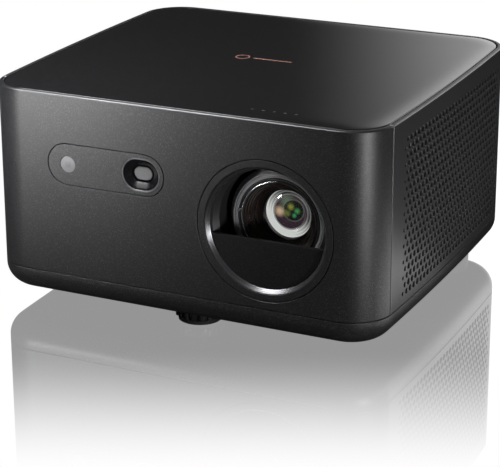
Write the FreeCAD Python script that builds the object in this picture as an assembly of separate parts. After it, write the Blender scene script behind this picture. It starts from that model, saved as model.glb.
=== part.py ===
import FreeCAD, Part
import math
import os

# Home projector, millimetres. +Z up, -Y is the front, +X is the right side seen from the front.
# The origin is on the floor under the middle of the body; the feet stand on z = 0.

V = FreeCAD.Vector
X_AXIS, Y_AXIS, Z_AXIS = V(1, 0, 0), V(0, 1, 0), V(0, 0, 1)

# Body
BODY_W, BODY_D, BODY_H = 229.0, 207.5, 114.5
FOOT_H = 10.0
SIDE_BOW_R = 2270.0      # the side faces are very slightly bowed
CORNER_R = 23.3
BOTTOM_EDGE_R = 12.0
RIM_EDGE_R = 0.9
WALL = 2.5
SHUT = 0.3               # shut line between covers
BASE = FOOT_H
TOP = FOOT_H + BODY_H
FRONT, BACK = -BODY_D / 2, BODY_D / 2
TRAY_SEAM = BASE + 14.3
FRONT_SEAM = FRONT + 19.5
REAR_SEAM = BACK - 11.7
LIP_T, LIP_GAP = 1.4, 0.1
FLOOR_Z = BASE + WALL    # inner face of the tray floor

# Side vents: round holes on a triangular pitch, smaller towards the two ends
VENT_PITCH = 5.0
VENT_ROWS, VENT_COLUMNS = 20, 60
VENT_Y0 = -68.56
VENT_Z0 = BASE + 20.43
VENT_R = 1.72
VENT_END_SCALE = (0.62, 0.80, 0.88)

# Top plate
PLATE_GAP = 0.6
PLATE_TOP = TOP + 0.5
PLATE_T = 3.1
INLAY_T = 0.25
MARK_X, MARK_Y = 2.0, 4.0
PIP_X, PIP_Y, PIP_PITCH, PIP_R, PIP_COUNT = 38.0, -88.0, 6.0, 0.8, 5

# Sensor window on the front
PILL_X, PILL_Z, PILL_W, PILL_H = -39.4, BASE + 76.8, 69.2, 23.0
EYE_X, EYE_R = -61.8, 4.5
CAM_X, CAM_W, CAM_H, CAM_DEPTH = -18.5, 22.3, 18.0, 3.2
CAM_WIN_W, CAM_WIN_H = 9.8, 6.9

# Lens: its axis runs along Y, and depths are measured back from the front face
LENS_X, LENS_Z = 51.8, BASE + 56.5
RING_R, RING_BORE_R = 37.8, 33.8
MASK_R, MASK_TOP_Z, MASK_DEPTH, MASK_T = 31.75, BASE + 50.2, 3.3, 1.9
SHROUD_DEPTH = 28.0
BARREL_R, BARREL_LIP_R, BARREL_DEPTH, BARREL_END = 27.8, 25.4, 17.0, 62.6
CELL_BORE_R = 23.05
CELL_R = 23.0
GLASS_R, GLASS_DEPTH = 13.3, 29.0

# Focus gearing
GEAR_MODULE = 1.0
RING_TEETH, PINION_TEETH = 66, 14
PRESSURE_ANGLE = math.radians(25)
BACKLASH = 0.16
PINION_ANGLE = math.radians(150)   # where the pinion sits round the lens axis, seen from the front
GEAR_DEPTH, GEAR_T = 34.0, 6.0
PINION_SHAFT_R, RUNNING = 1.2, 0.05

# Optical engine
ENGINE_X, ENGINE_Y, ENGINE_Z = (18.0, 86.0), (FRONT + 62.75, 32.0), (38.0, 94.0)
ENGINE_WALL = 2.5

# Cooling
FAN_SIZE, FAN_T, FAN_BORE_R, ROTOR_R, HUB_R = 76.0, 14.0, 35.0, 33.5, 15.5
FAN_Y, FAN_Z, FAN_X = -4.0, 66.0, 95.0
FAN_SHAFT_R = 1.5
BLADES, BLADE_TILT = 7, 38.0
FIN_X, FIN_Y, FIN_Z = (-88.0, -46.0), (-40.0, 30.0), (58.0, 100.0)
FIN_COUNT, FIN_T = 15, 0.8
PIPE_R, PIPE_BEND_R, PIPE_Z = 3.0, 14.0, 47.0
PIPE_ROUTES = ((-25.0, -58.0), (-5.0, -67.0), (15.0, -76.0))   # y, and x of the rising leg

# Speakers
BOX_X, BOX_Y, BOX_Z, BOX_WALL = (68.0, 105.5), (40.0, 79.0), (44.0, 110.0), 2.2
CONE_R = 17.0

# Boards and sockets
PCB_T = 1.6
MAIN_X, MAIN_Y, MAIN_Z = (-73.0, 73.0), (38.0, 98.5), 31.0
IO_X, IO_Z = (-64.0, 64.0), (29.0, 62.0)
IO_FACE = BACK - 1.75
SOCKET_TOP_Z = MAIN_Z + PCB_T
VIDEO_X = (-30.0, -8.0)
BUTTON_X, BUTTON_Z, BUTTON_W, BUTTON_H = 48.0, 53.0, 13.0, 7.0
LIGHT_X = 36.0

# Feet and threaded inserts
FRONT_FOOT_Y = FRONT + 30.0
KNOB_R, KNOB_Z, NECK_R, STUD_R, STUD_TOP = 13.4, (2.25, 7.0), 6.0, 4.0, 34.0
KNURLS, KNURL_R = 18, 1.5
PAD_R, PAD_T = 11.8, 2.0
REAR_FOOT_X, REAR_FOOT_Y, REAR_FOOT_R = 88.5, 77.0, 11.0
TRIPOD_Y, TRIPOD_BORE_R, TRIPOD_R, TRIPOD_LEN = 10.0, 2.55, 6.0, 9.5
SCREW_SPOTS = ((-98.0, -86.0), (98.0, -86.0), (-78.5, 93.0), (78.5, 93.0))
SCREW_SHELF_Z = 24.0


def box(x, y, z):
    """A block between pairs of low and high limits."""
    return Part.makeBox(x[1] - x[0], y[1] - y[0], z[1] - z[0], V(x[0], y[0], z[0]))


def rod(radius, start, axis, length):
    """A cylinder from a start point along an axis."""
    return Part.makeCylinder(radius, length, V(*start), axis)


def rounded_block(x, y, z, radius, axis):
    """A block with its four edges along one axis rounded."""
    block = box(x, y, z)
    edges = [e for e in block.Edges if abs(e.tangentAt(e.FirstParameter).dot(axis)) > 0.99]
    return block.makeFillet(radius, edges)


def join(solids):
    """One solid out of several that touch or overlap."""
    return solids[0].multiFuse(solids[1:]).removeSplitter()


def mirrored(shape):
    """The same shape on the left side."""
    return shape.mirror(V(0, 0, 0), X_AXIS)


def plan_prism(inset, low, high):
    """The body's outline, moved in by inset, as a block between two heights."""
    half_w, half_d, bow = BODY_W / 2 - inset, BODY_D / 2 - inset, SIDE_BOW_R - inset
    corner_x = half_w - bow + math.sqrt(bow ** 2 - half_d ** 2)
    right = Part.Arc(V(corner_x, -half_d, low), V(half_w, 0, low), V(corner_x, half_d, low))
    left = Part.Arc(V(-corner_x, half_d, low), V(-half_w, 0, low), V(-corner_x, -half_d, low))
    front = Part.LineSegment(V(-corner_x, -half_d, low), V(corner_x, -half_d, low))
    back = Part.LineSegment(V(corner_x, half_d, low), V(-corner_x, half_d, low))
    wire = Part.Wire([curve.toShape() for curve in (front, right, back, left)])
    prism = Part.Face(wire).extrude(V(0, 0, high - low))
    uprights = [e for e in prism.Edges if abs(e.tangentAt(e.FirstParameter).z) > 0.99]
    return prism.makeFillet(CORNER_R - inset, uprights)


def flat_edges(shape, z):
    """The edges of a shape that lie in the plane at height z."""
    return [e for e in shape.Edges if abs(e.BoundBox.ZMin - z) < 1e-4 and abs(e.BoundBox.ZMax - z) < 1e-4]


def wall_band(outer, inner, low, high):
    """A ring that follows the body's outline between two insets."""
    return plan_prism(outer, low, high).cut(plan_prism(inner, low - 1, high + 1))


def y_slice(shape, low, high):
    """The part of a shape between two depths of the body."""
    return shape.common(box((-BODY_W, BODY_W), (low, high), (-1, TOP + 10)))


def stadium(centre_x, centre_z, width, height, depth_low, depth_high):
    """A block with half-round ends, standing in the front's plane and running back."""
    radius = height / 2
    half = width / 2 - radius
    y, length = FRONT + depth_low, depth_high - depth_low
    middle = box((centre_x - half, centre_x + half), (y, y + length), (centre_z - radius, centre_z + radius))
    ends = [rod(radius, (centre_x + side * half, y, centre_z), Y_AXIS, length) for side in (-1, 1)]
    return join([middle] + ends)


def stadium_wire(centre_x, centre_z, width, height, y):
    """The outline of a stadium at one depth, for a loft."""
    radius = height / 2
    half = width / 2 - radius
    low, high = centre_z - radius, centre_z + radius
    left, right = centre_x - half, centre_x + half
    curves = (
        Part.LineSegment(V(left, y, low), V(right, y, low)),
        Part.Arc(V(right, y, low), V(right + radius, y, centre_z), V(right, y, high)),
        Part.LineSegment(V(right, y, high), V(left, y, high)),
        Part.Arc(V(left, y, high), V(left - radius, y, centre_z), V(left, y, low)),
    )
    return Part.Wire([curve.toShape() for curve in curves])


def lens_turned(profile):
    """A solid of revolution about the lens axis, from (radius, depth) points."""
    points = [V(LENS_X + radius, FRONT + depth, LENS_Z) for radius, depth in profile]
    face = Part.Face(Part.makePolygon(points + points[:1]))
    return face.revolve(V(LENS_X, 0, LENS_Z), Y_AXIS, 360)


def lens_tube(outer, inner, depth_low, depth_high):
    """A plain ring about the lens axis."""
    return lens_turned([(inner, depth_low), (outer, depth_low), (outer, depth_high), (inner, depth_high)])


def gear(teeth, thickness):
    """An external spur gear about Z with a tooth centred on +X."""
    pitch_r = GEAR_MODULE * teeth / 2
    base_r = pitch_r * math.cos(PRESSURE_ANGLE)
    tip_r, root_r = pitch_r + GEAR_MODULE, pitch_r - 1.25 * GEAR_MODULE

    def involute(radius):
        """How far round a flank has turned at a radius."""
        alpha = math.acos(min(1.0, base_r / radius))
        return math.tan(alpha) - alpha

    half_tooth = (math.pi * GEAR_MODULE - BACKLASH) / 4 / pitch_r
    radii = [max(base_r, root_r), pitch_r - 0.4 * GEAR_MODULE, pitch_r + 0.3 * GEAR_MODULE, tip_r]
    flank = [(r, half_tooth + involute(pitch_r) - involute(r)) for r in radii]
    tooth = [(root_r, flank[0][1])] + flank if base_r > root_r else flank
    outline = []
    for index in range(teeth):
        centre = 2 * math.pi * index / teeth
        for radius, angle in [(r, -a) for r, a in tooth] + [(r, a) for r, a in reversed(tooth)]:
            outline.append(V(radius * math.cos(centre + angle), radius * math.sin(centre + angle), 0))
    return Part.Face(Part.makePolygon(outline + outline[:1])).extrude(V(0, 0, thickness))


def save(name, *solids):
    """Write one sub-part, which may be a group of separate solids."""
    shape = solids[0] if len(solids) == 1 else Part.makeCompound(list(solids))
    shape.exportStep(os.path.join("parts", name + ".step"))
    print(name, "solids", len(shape.Solids), "valid", shape.isValid())


def screw_post(spot, wall_y):
    """A post for a case screw, with a rib that ties it to the front or back wall."""
    x, y = spot
    post = rod(4.0, (x, y, TRAY_SEAM + 3), Z_AXIS, 24)
    rib = box((x - 1, x + 1), sorted((y, wall_y)), (TRAY_SEAM + 5, TRAY_SEAM + 25))
    bore = rod(1.5, (x, y, TRAY_SEAM), Z_AXIS, 16)
    return join([post, rib]).cut(bore)


def upper_skin():
    """The whole upper wall of the body, before it is divided into covers."""
    outer = plan_prism(0, TRAY_SEAM + SHUT / 2, TOP)
    outer = outer.makeFillet(RIM_EDGE_R, flat_edges(outer, TOP))
    return outer.cut(plan_prism(WALL, TRAY_SEAM - 1, TOP + 1))


def seam_lip(seam, towards):
    """The tongue that a cover reaches behind the side panel at a seam."""
    low, high = TRAY_SEAM + 6, TOP - 9
    root, tip = seam - 5 * towards, seam + 3.5 * towards
    foot_end = seam - SHUT / 2 * towards
    tongue = y_slice(wall_band(WALL + LIP_GAP, WALL + LIP_T, low, high), *sorted((root, tip)))
    foot = y_slice(wall_band(WALL - 0.2, WALL + LIP_T, low, high), *sorted((root, foot_end)))
    return [tongue, foot]


def front_cover(skin):
    """The painted front, wrapped round both front corners, with its lens and sensor openings."""
    cover = y_slice(skin, FRONT - 1, FRONT_SEAM - SHUT / 2)
    posts = [screw_post(spot, FRONT + WALL / 2) for spot in SCREW_SPOTS[:2]]
    cover = join([cover] + seam_lip(FRONT_SEAM, 1) + posts)
    lens_hole = rod(RING_R + 0.15, (LENS_X, FRONT - 1, LENS_Z), Y_AXIS, 10)
    pill_hole = stadium(PILL_X, PILL_Z, PILL_W, PILL_H, -1, 10)
    return cover.cut(lens_hole).cut(pill_hole)


def rear_cover(skin):
    """The back, wrapped a little way round both rear corners, with the socket recess."""
    cover = y_slice(skin, REAR_SEAM + SHUT / 2, BACK + 1)
    posts = [screw_post(spot, BACK - WALL / 2) for spot in SCREW_SPOTS[2:]]
    cover = join([cover] + seam_lip(REAR_SEAM, -1) + posts)
    opening = rounded_block(IO_X, (BACK - 8, BACK + 1), IO_Z, 3.0, Y_AXIS)
    return cover.cut(opening)


def vent_holes():
    """Drills for one side's vents."""
    drills = []
    for row in range(VENT_ROWS):
        for column in range(row % 2, VENT_COLUMNS, 2):
            from_end = min(column, VENT_COLUMNS - 1 - column)
            scale = VENT_END_SCALE[from_end] if from_end < len(VENT_END_SCALE) else 1.0
            y = VENT_Y0 + column * VENT_PITCH / 2
            z = VENT_Z0 + row * VENT_PITCH * math.sqrt(3) / 2
            drills.append(rod(VENT_R * scale, (BODY_W / 2 - 8, y, z), X_AXIS, 16))
    return Part.makeCompound(drills)


def side_panel(skin):
    """The right side panel with its vents."""
    panel = y_slice(skin, FRONT_SEAM + SHUT / 2, REAR_SEAM - SHUT / 2)
    panel = panel.common(box((0, BODY_W), (-BODY_D, BODY_D), (0, TOP + 10)))
    return panel.cut(vent_holes())


def bottom_tray():
    """The base with its rounded lower edge, intake slots, bosses and the lip inside the covers."""
    high = TRAY_SEAM - SHUT / 2
    outer = plan_prism(0, BASE, high)
    outer = outer.makeFillet(BOTTOM_EDGE_R, flat_edges(outer, BASE))
    inner = plan_prism(WALL, FLOOR_Z, high + 1)
    inner = inner.makeFillet(BOTTOM_EDGE_R - WALL, flat_edges(inner, FLOOR_Z))
    lip = wall_band(WALL + LIP_GAP, WALL + LIP_T, high - 3, TRAY_SEAM + 2.6)
    lip_foot = wall_band(WALL - 0.2, WALL + LIP_T, high - 3, high - 0.4)
    parts = [outer.cut(inner), lip, lip_foot]
    parts += [rod(5.0, (x, y, BASE + 1), Z_AXIS, SCREW_SHELF_Z + 2 - BASE - 1) for x, y in SCREW_SPOTS]
    parts.append(rod(9.5, (0, FRONT_FOOT_Y, BASE + 1), Z_AXIS, 20))
    parts.append(rod(8.5, (0, TRIPOD_Y, BASE + 1), Z_AXIS, 10.5))
    parts += [rod(3.0, (x, y, BASE + 1), Z_AXIS, MAIN_Z - BASE - 1) for x in (-68, 0, 68) for y in (44, 90)]
    tray = join(parts)
    for x, y in SCREW_SPOTS:
        tray = tray.cut(rod(3.2, (x, y, BASE - 1), Z_AXIS, SCREW_SHELF_Z - BASE + 1))
        tray = tray.cut(rod(1.7, (x, y, BASE), Z_AXIS, 30))
    tray = tray.cut(rod(4.8, (0, FRONT_FOOT_Y, BASE - 1), Z_AXIS, 4))
    tray = tray.cut(rod(7.0, (0, FRONT_FOOT_Y, FLOOR_Z), Z_AXIS, 30))
    tray = tray.cut(rod(TRIPOD_R, (0, TRIPOD_Y, BASE - 1), Z_AXIS, TRIPOD_LEN + 1.1))
    slots = []
    for index in range(12):
        y = -40 + index * 5.5
        slots.append(rounded_block((-88, -46), (y - 1.25, y + 1.25), (BASE - 1, FLOOR_Z + 1), 1.2, Z_AXIS))
    for side in (-1, 1):
        slots.append(rod(6.05, (side * REAR_FOOT_X, REAR_FOOT_Y, BASE - 1), Z_AXIS, 2.3))
    return tray.cut(Part.makeCompound(slots))


def top_deck():
    """The inner deck that carries the top plate."""
    deck = plan_prism(WALL + 0.15, TOP - 7, TOP - 5.4)
    rim = wall_band(WALL + 0.15, WALL + 4, TOP - 7, PLATE_TOP - PLATE_T - 0.1)
    ribs = [box((-90, 90), (y - 0.8, y + 0.8), (TOP - 7, PLATE_TOP - PLATE_T - 0.1)) for y in (-60, 0, 60)]
    return join([deck, rim] + ribs)


def top_mark():
    """A plain ring and bar, let into the top plate."""
    low = PLATE_TOP - INLAY_T
    ring = rod(4.2, (MARK_X - 13, MARK_Y, low), Z_AXIS, INLAY_T).cut(
        rod(3.3, (MARK_X - 13, MARK_Y, low - 1), Z_AXIS, 3))
    x, y = (MARK_X - 6.5, MARK_X + 17), (MARK_Y - 0.6, MARK_Y + 0.6)
    return [ring, rounded_block(x, y, (low, PLATE_TOP), 0.55, Z_AXIS)]


def top_pips():
    """The row of small indicator lights in the top plate."""
    low = PLATE_TOP - INLAY_T
    return [rod(PIP_R, (PIP_X + i * PIP_PITCH, PIP_Y, low), Z_AXIS, INLAY_T) for i in range(PIP_COUNT)]


def top_plate():
    """The gloss top, set inside the rim behind a narrow gap."""
    plate = plan_prism(WALL + PLATE_GAP, PLATE_TOP - PLATE_T, PLATE_TOP)
    plate = plate.makeFillet(0.7, flat_edges(plate, PLATE_TOP))
    return plate.cut(Part.makeCompound(top_mark() + top_pips()))


def sensor_window():
    """The pill-shaped window, its flange behind the cover, and its two cut-outs."""
    face = stadium(PILL_X, PILL_Z, PILL_W - 0.3, PILL_H - 0.3, 0.05, WALL + 0.1)
    flange = stadium(PILL_X, PILL_Z, PILL_W + 4, PILL_H + 4, WALL + 0.1, WALL + 1.3)
    eye = rod(EYE_R, (EYE_X, FRONT - 1, PILL_Z), Y_AXIS, 10)
    recess = stadium(CAM_X, PILL_Z, CAM_W, CAM_H, -1, 10)
    return join([face, flange]).cut(eye).cut(recess)


def camera_cone():
    """The tapered recess that leads in to the camera window."""
    block = stadium(CAM_X, PILL_Z, CAM_W - 0.1, CAM_H - 0.1, 0.1, CAM_DEPTH + 1.2)
    mouth = stadium_wire(CAM_X, PILL_Z, CAM_W - 1.0, CAM_H - 1.0, FRONT + 0.05)
    throat = stadium_wire(CAM_X, PILL_Z, CAM_WIN_W + 0.6, CAM_WIN_H + 0.6, FRONT + CAM_DEPTH)
    funnel = Part.makeLoft([mouth, throat], True, True)
    window = stadium(CAM_X, PILL_Z, CAM_WIN_W, CAM_WIN_H, 0, 10)
    return block.cut(funnel).cut(window)


def sensor_board():
    """The board behind the window, with the remote-control eye and the camera's own barrel."""
    y = FRONT + 7
    board = box((-70, -8), (y, y + 1.2), (PILL_Z - 9, PILL_Z + 9))
    eye = box((EYE_X - 3.5, EYE_X + 3.5), (y - 3.0, y), (PILL_Z - 4, PILL_Z + 4))
    barrel = rod(3.2, (CAM_X, FRONT + CAM_DEPTH + 1.4, PILL_Z), Y_AXIS, 7 - CAM_DEPTH - 1.4)
    return [board, eye, barrel]


def trim_ring():
    """The painted ring flush with the front, with a flange behind the cover."""
    return lens_turned([
        (34.1, 0.0), (37.5, 0.0), (RING_R, 0.3), (RING_R, WALL + 0.1), (39.3, WALL + 0.1),
        (39.3, 4.0), (RING_BORE_R, 4.0), (RING_BORE_R, 0.3)])


def lens_tunnel():
    """The stepped wall that leads in to the lens."""
    inner = []
    for step in range(3):
        inner += [(33.6 - 0.6 * step, 1.0 + 0.7 * step), (33.6 - 0.6 * step, 1.7 + 0.7 * step)]
    radius, depth = 31.9, 5.4
    inner += [(radius, 3.1), (radius, depth)]
    for _ in range(4):
        inner += [(radius - 0.35, depth), (radius - 0.35, depth + 1.4)]
        radius, depth = radius - 0.35, depth + 1.4
    outer = [(33.5, depth), (33.5, 5.6), (40.0, 5.6), (40.0, 4.05), (33.75, 4.05), (33.75, 1.0)]
    return lens_turned(inner + outer)


def lens_mask():
    """The half-moon plate that covers the lower part of the opening."""
    disc = rod(MASK_R, (LENS_X, FRONT + MASK_DEPTH, LENS_Z), Y_AXIS, MASK_T)
    keep = box((LENS_X - 40, LENS_X + 40), (FRONT, FRONT + 20), (0, MASK_TOP_Z))
    return disc.common(keep)


def lens_shroud():
    """The light seal between the tunnel and the barrel."""
    low = 11.1
    return lens_turned([
        (30.7, low), (33.4, low), (33.4, SHROUD_DEPTH), (BARREL_R + 0.5, SHROUD_DEPTH),
        (BARREL_R + 0.5, SHROUD_DEPTH - 1.5), (30.7, SHROUD_DEPTH - 1.5)])


def lens_barrel():
    """The fixed barrel: front lip, sliding bore, shoulder for the focus ring and rear flange."""
    lip = [(24.3, 17.2), (24.3, 17.9), (24.9, 17.9), (24.9, BARREL_DEPTH), (BARREL_LIP_R, BARREL_DEPTH)]
    outside = [(BARREL_R, BARREL_DEPTH + 2.6), (BARREL_R, 42.3), (30.0, 42.3), (30.0, 44.0), (BARREL_R, 44.0)]
    flange = [(BARREL_R, 58.5), (33.0, 58.5), (33.0, BARREL_END), (15.0, BARREL_END), (15.0, 50.5)]
    return lens_turned(lip + outside + flange + [(CELL_BORE_R, 50.5), (CELL_BORE_R, 17.7)])


def lens_cell():
    """The sliding cell that carries the front glass down a ribbed cone."""
    cone = [(20.9, 17.2), (20.6, 17.4)]
    radius, depth = 20.6, 17.4
    for _ in range(8):
        radius, depth = radius - 0.85, depth + 1.4
        cone += [(radius + 0.35, depth), (radius, depth)]
    outline = [(CELL_R, 18.0), (22.7, 17.6), (21.6, 17.6), (21.4, 17.2)] + cone
    outline += [(GLASS_R, GLASS_DEPTH), (GLASS_R, 34.0), (11.5, 34.0), (11.5, 47.0), (CELL_R, 47.0)]
    return lens_turned(outline)


def glass_disc(radius, depth_low, depth_high, dome):
    """A glass element with a domed front."""
    disc = rod(radius, (LENS_X, FRONT + depth_low, LENS_Z), Y_AXIS, depth_high - depth_low)
    sphere_r = (radius ** 2 + dome ** 2) / (2 * dome)
    sphere = Part.makeSphere(sphere_r, V(LENS_X, FRONT + depth_low - dome + sphere_r, LENS_Z))
    reach = rod(radius, (LENS_X, FRONT + depth_low - dome - 1, LENS_Z), Y_AXIS, dome + 1)
    return join([disc, sphere.common(reach)])


def toothed_ring():
    """The focus ring with its toothed rim and the relief for the cell's guide."""
    ring = gear(RING_TEETH, GEAR_T)
    ring.rotate(V(0, 0, 0), Z_AXIS, math.degrees(PINION_ANGLE))
    ring.rotate(V(0, 0, 0), X_AXIS, 90)
    ring.translate(V(LENS_X, FRONT + GEAR_DEPTH + GEAR_T, LENS_Z))
    sleeve = lens_tube(31.0, BARREL_R + 0.06, GEAR_DEPTH, 42.0)
    bore = rod(BARREL_R + 0.06, (LENS_X, FRONT + 30, LENS_Z), Y_AXIS, 20)
    relief = lens_tube(29.3, BARREL_R, 35.5, 40.5)
    return join([ring, sleeve]).cut(bore).cut(relief)


def pinion_spot():
    """The pinion's place: x and z."""
    centres = GEAR_MODULE * (RING_TEETH + PINION_TEETH) / 2
    return LENS_X + centres * math.cos(PINION_ANGLE), LENS_Z + centres * math.sin(PINION_ANGLE)


def focus_pinion():
    """The pinion on its motor shaft, turned so that a gap faces the ring's tooth."""
    x, z = pinion_spot()
    wheel = gear(PINION_TEETH, GEAR_T)
    half_pitch = 180 / PINION_TEETH
    wheel.rotate(V(0, 0, 0), Z_AXIS, math.degrees(PINION_ANGLE) + 180 + half_pitch)
    wheel.rotate(V(0, 0, 0), X_AXIS, 90)
    wheel.translate(V(x, FRONT + GEAR_DEPTH + GEAR_T, z))
    shaft = rod(PINION_SHAFT_R, (x, FRONT + GEAR_DEPTH, z), Y_AXIS, 17)
    return join([wheel, shaft])


def focus_motor():
    """The small can motor behind the pinion."""
    x, z = pinion_spot()
    can = rod(9.0, (x, FRONT + 43.2, z), Y_AXIS, 13.8)
    boss = rod(3.5, (x, FRONT + 41.2, z), Y_AXIS, 2.0)
    bore = rod(PINION_SHAFT_R + RUNNING, (x, FRONT + 41, z), Y_AXIS, 11)
    return join([can, boss]).cut(bore)


def motor_bracket():
    """The bent plate that holds the motor off the engine's front."""
    x, z = pinion_spot()
    plate = box((x - 12, x + 4.5), (FRONT + 42, FRONT + 43.2), (z - 8, z + 8))
    leg = box((x - 12, x - 10.6), (FRONT + 42, ENGINE_Y[0]), (z - 8, z + 8))
    foot = box((x - 12, x + 5), (ENGINE_Y[0] - 1.3, ENGINE_Y[0]), (z - 2, z + 7))
    return join([plate, leg, foot]).cut(rod(3.55, (x, FRONT + 41, z), Y_AXIS, 3))


def optical_engine():
    """The cast housing behind the lens, open at the top under its lid."""
    shell = box(ENGINE_X, ENGINE_Y, ENGINE_Z)
    wall = ENGINE_WALL
    inside = box(
        (ENGINE_X[0] + wall, ENGINE_X[1] - wall), (ENGINE_Y[0] + wall, ENGINE_Y[1] - wall),
        (ENGINE_Z[0] + wall, ENGINE_Z[1] + 1))
    port = rod(15.5, (LENS_X, ENGINE_Y[0] - 1, LENS_Z), Y_AXIS, 5)
    window = box((LENS_X - 9, LENS_X + 9), (ENGINE_Y[1] - 5, ENGINE_Y[1] + 1), (LENS_Z - 6, LENS_Z + 6))
    lamp_holes = [rod(6.0, (ENGINE_X[0] - 1, y, LENS_Z), X_AXIS, 5) for y in (-26, -4, 18)]
    legs = [box((x, x + 6), (y, y + 6), (FLOOR_Z, ENGINE_Z[0])) for x in (20, 78) for y in (-39, 22)]
    return join([shell] + legs).cut(Part.makeCompound([inside, port, window] + lamp_holes))


def led_modules():
    """Three lamp boards on the housing's left wall, each with its dome."""
    modules = []
    for y in (-26, -4, 18):
        board = box((ENGINE_X[0] - 2.2, ENGINE_X[0] - 0.2), (y - 9, y + 9), (LENS_Z - 12, LENS_Z + 12))
        dome = rod(4.0, (ENGINE_X[0] - 0.2, y, LENS_Z), X_AXIS, 4)
        modules.append(join([board, dome]))
    return modules


def pipe_path(y, rise_x):
    """One heat pipe's centreline: out from the cold block, then up through the fins."""
    corner = V(rise_x + PIPE_BEND_R, y, PIPE_Z)
    middle = V(
        rise_x + PIPE_BEND_R * (1 - math.sin(math.radians(45))), y,
        PIPE_Z + PIPE_BEND_R * (1 - math.cos(math.radians(45))))
    top = V(rise_x, y, PIPE_Z + PIPE_BEND_R)
    run = Part.LineSegment(V(ENGINE_X[0] - 4.5, y, PIPE_Z), corner)
    bend = Part.Arc(corner, middle, top)
    rise = Part.LineSegment(top, V(rise_x, y, FIN_Z[1] + 2))
    return Part.Wire([run.toShape(), bend.toShape(), rise.toShape()])


def heat_pipes():
    """The three bent pipes."""
    pipes = []
    for y, rise_x in PIPE_ROUTES:
        end = Part.makeCircle(PIPE_R, V(ENGINE_X[0] - 4.5, y, PIPE_Z), X_AXIS)
        pipes.append(pipe_path(y, rise_x).makePipeShell([Part.Wire([end])], True, False))
    return pipes


def cold_block(pipes):
    """The block that takes the lamps' heat into the pipes."""
    block = box((ENGINE_X[0] - 9, ENGINE_X[0] - 2.3), (-36, 28), (PIPE_Z - 5, LENS_Z + 14))
    return block.cut(Part.makeCompound(pipes))


def fin_stack(pipes):
    """Level fins between two end plates, with the pipes passing up through them."""
    step = (FIN_Z[1] - FIN_Z[0] - FIN_T) / (FIN_COUNT - 1)
    fins = [box(FIN_X, FIN_Y, (FIN_Z[0] + i * step, FIN_Z[0] + i * step + FIN_T)) for i in range(FIN_COUNT)]
    ends = [box(FIN_X, (y, y + 1), FIN_Z) for y in (FIN_Y[0], FIN_Y[1] - 1)]
    return join(fins + ends).cut(Part.makeCompound(pipes))


def heatsink_right():
    """The finned plate on the engine's right wall."""
    base = box((ENGINE_X[1], ENGINE_X[1] + 2.0), (-36, 28), (ENGINE_Z[0], ENGINE_Z[1]))
    fins = [box((ENGINE_X[1], 93.0), (-36 + i * 5.6, -34.8 + i * 5.6), ENGINE_Z) for i in range(12)]
    return join([base] + fins)


def fan_frame():
    """A square fan frame about Z, with its motor cup on four struts and its bearing tube."""
    half = FAN_SIZE / 2
    frame = rounded_block((-half, half), (-half, half), (0, FAN_T), 5, Z_AXIS)
    frame = frame.cut(rod(FAN_BORE_R, (0, 0, -1), Z_AXIS, FAN_T + 2))
    struts = [box((-FAN_BORE_R - 1, FAN_BORE_R + 1), (-1.5, 1.5), (0, 2.2))]
    struts.append(box((-1.5, 1.5), (-FAN_BORE_R - 1, FAN_BORE_R + 1), (0, 2.2)))
    cup = rod(HUB_R - 1, (0, 0, 0), Z_AXIS, 2.2)
    tube = rod(3.2, (0, 0, 0), Z_AXIS, 9)
    frame = join([frame, cup, tube] + struts)
    holes = [rod(2.0, (x, y, -1), Z_AXIS, FAN_T + 2) for x in (-33.5, 33.5) for y in (-33.5, 33.5)]
    bearing = rod(FAN_SHAFT_R + RUNNING, (0, 0, 0.6), Z_AXIS, 10)
    return frame.cut(Part.makeCompound(holes + [bearing]))


def fan_rotor():
    """The hub, shaft and tilted blades about Z."""
    hub = rod(HUB_R, (0, 0, 3.0), Z_AXIS, 9.6).cut(rod(HUB_R - 1.8, (0, 0, 2), Z_AXIS, 8))
    shaft = rod(FAN_SHAFT_R, (0, 0, 1.0), Z_AXIS, 10)
    room = rod(ROTOR_R, (0, 0, 3.0), Z_AXIS, 9.6).cut(rod(HUB_R - 0.5, (0, 0, 0), Z_AXIS, 20))
    blades = []
    for index in range(BLADES):
        blade = box((HUB_R - 2, ROTOR_R + 2), (-7.5, 7.5), (-0.6, 0.6))
        blade.rotate(V(0, 0, 0), X_AXIS, BLADE_TILT)
        blade.translate(V(0, 0, 7.8))
        blade.rotate(V(0, 0, 0), Z_AXIS, 360 / BLADES * index)
        blades.append(blade.common(room))
    return join([hub, shaft] + blades)


def on_right_side(shape, inner_x):
    """Stand a shape made about Z on the right side, with its z = 0 plane at inner_x."""
    placed = shape.copy()
    placed.rotate(V(0, 0, 0), Y_AXIS, 90)
    placed.translate(V(inner_x, FAN_Y, FAN_Z))
    return placed


def speaker_box():
    """The right speaker's sealed box, with the hole for its driver."""
    outer = box(BOX_X, BOX_Y, BOX_Z)
    wall = BOX_WALL
    inner = box(*[(low + wall, high - wall) for low, high in (BOX_X, BOX_Y, BOX_Z)])
    y, z = sum(BOX_Y) / 2, sum(BOX_Z) / 2
    return outer.cut(inner).cut(rod(CONE_R + 0.6, (BOX_X[1] - 5, y, z), X_AXIS, 10))


def about_speaker(profile):
    """A solid of revolution about the right driver's axis, from (radius, x) points."""
    y, z = sum(BOX_Y) / 2, sum(BOX_Z) / 2
    points = [V(x, y + radius, z) for radius, x in profile]
    return Part.Face(Part.makePolygon(points + points[:1])).revolve(V(0, y, z), X_AXIS, 360)


def speaker_driver():
    """The right driver's basket ring and its magnet on a tapered basket."""
    front = BOX_X[1]
    return about_speaker([
        (CONE_R + 0.5, front + 1.6), (19.0, front + 1.6), (19.0, front + 0.05), (CONE_R + 0.5, front + 0.05),
        (CONE_R + 0.5, front - 2.5), (12.5, front - 9.0), (12.5, front - 16.0), (0.0, front - 16.0),
        (0.0, front - 14.0), (9.0, front - 14.0), (9.0, front - 8.2), (CONE_R - 0.5, front - 0.5)])


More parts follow.
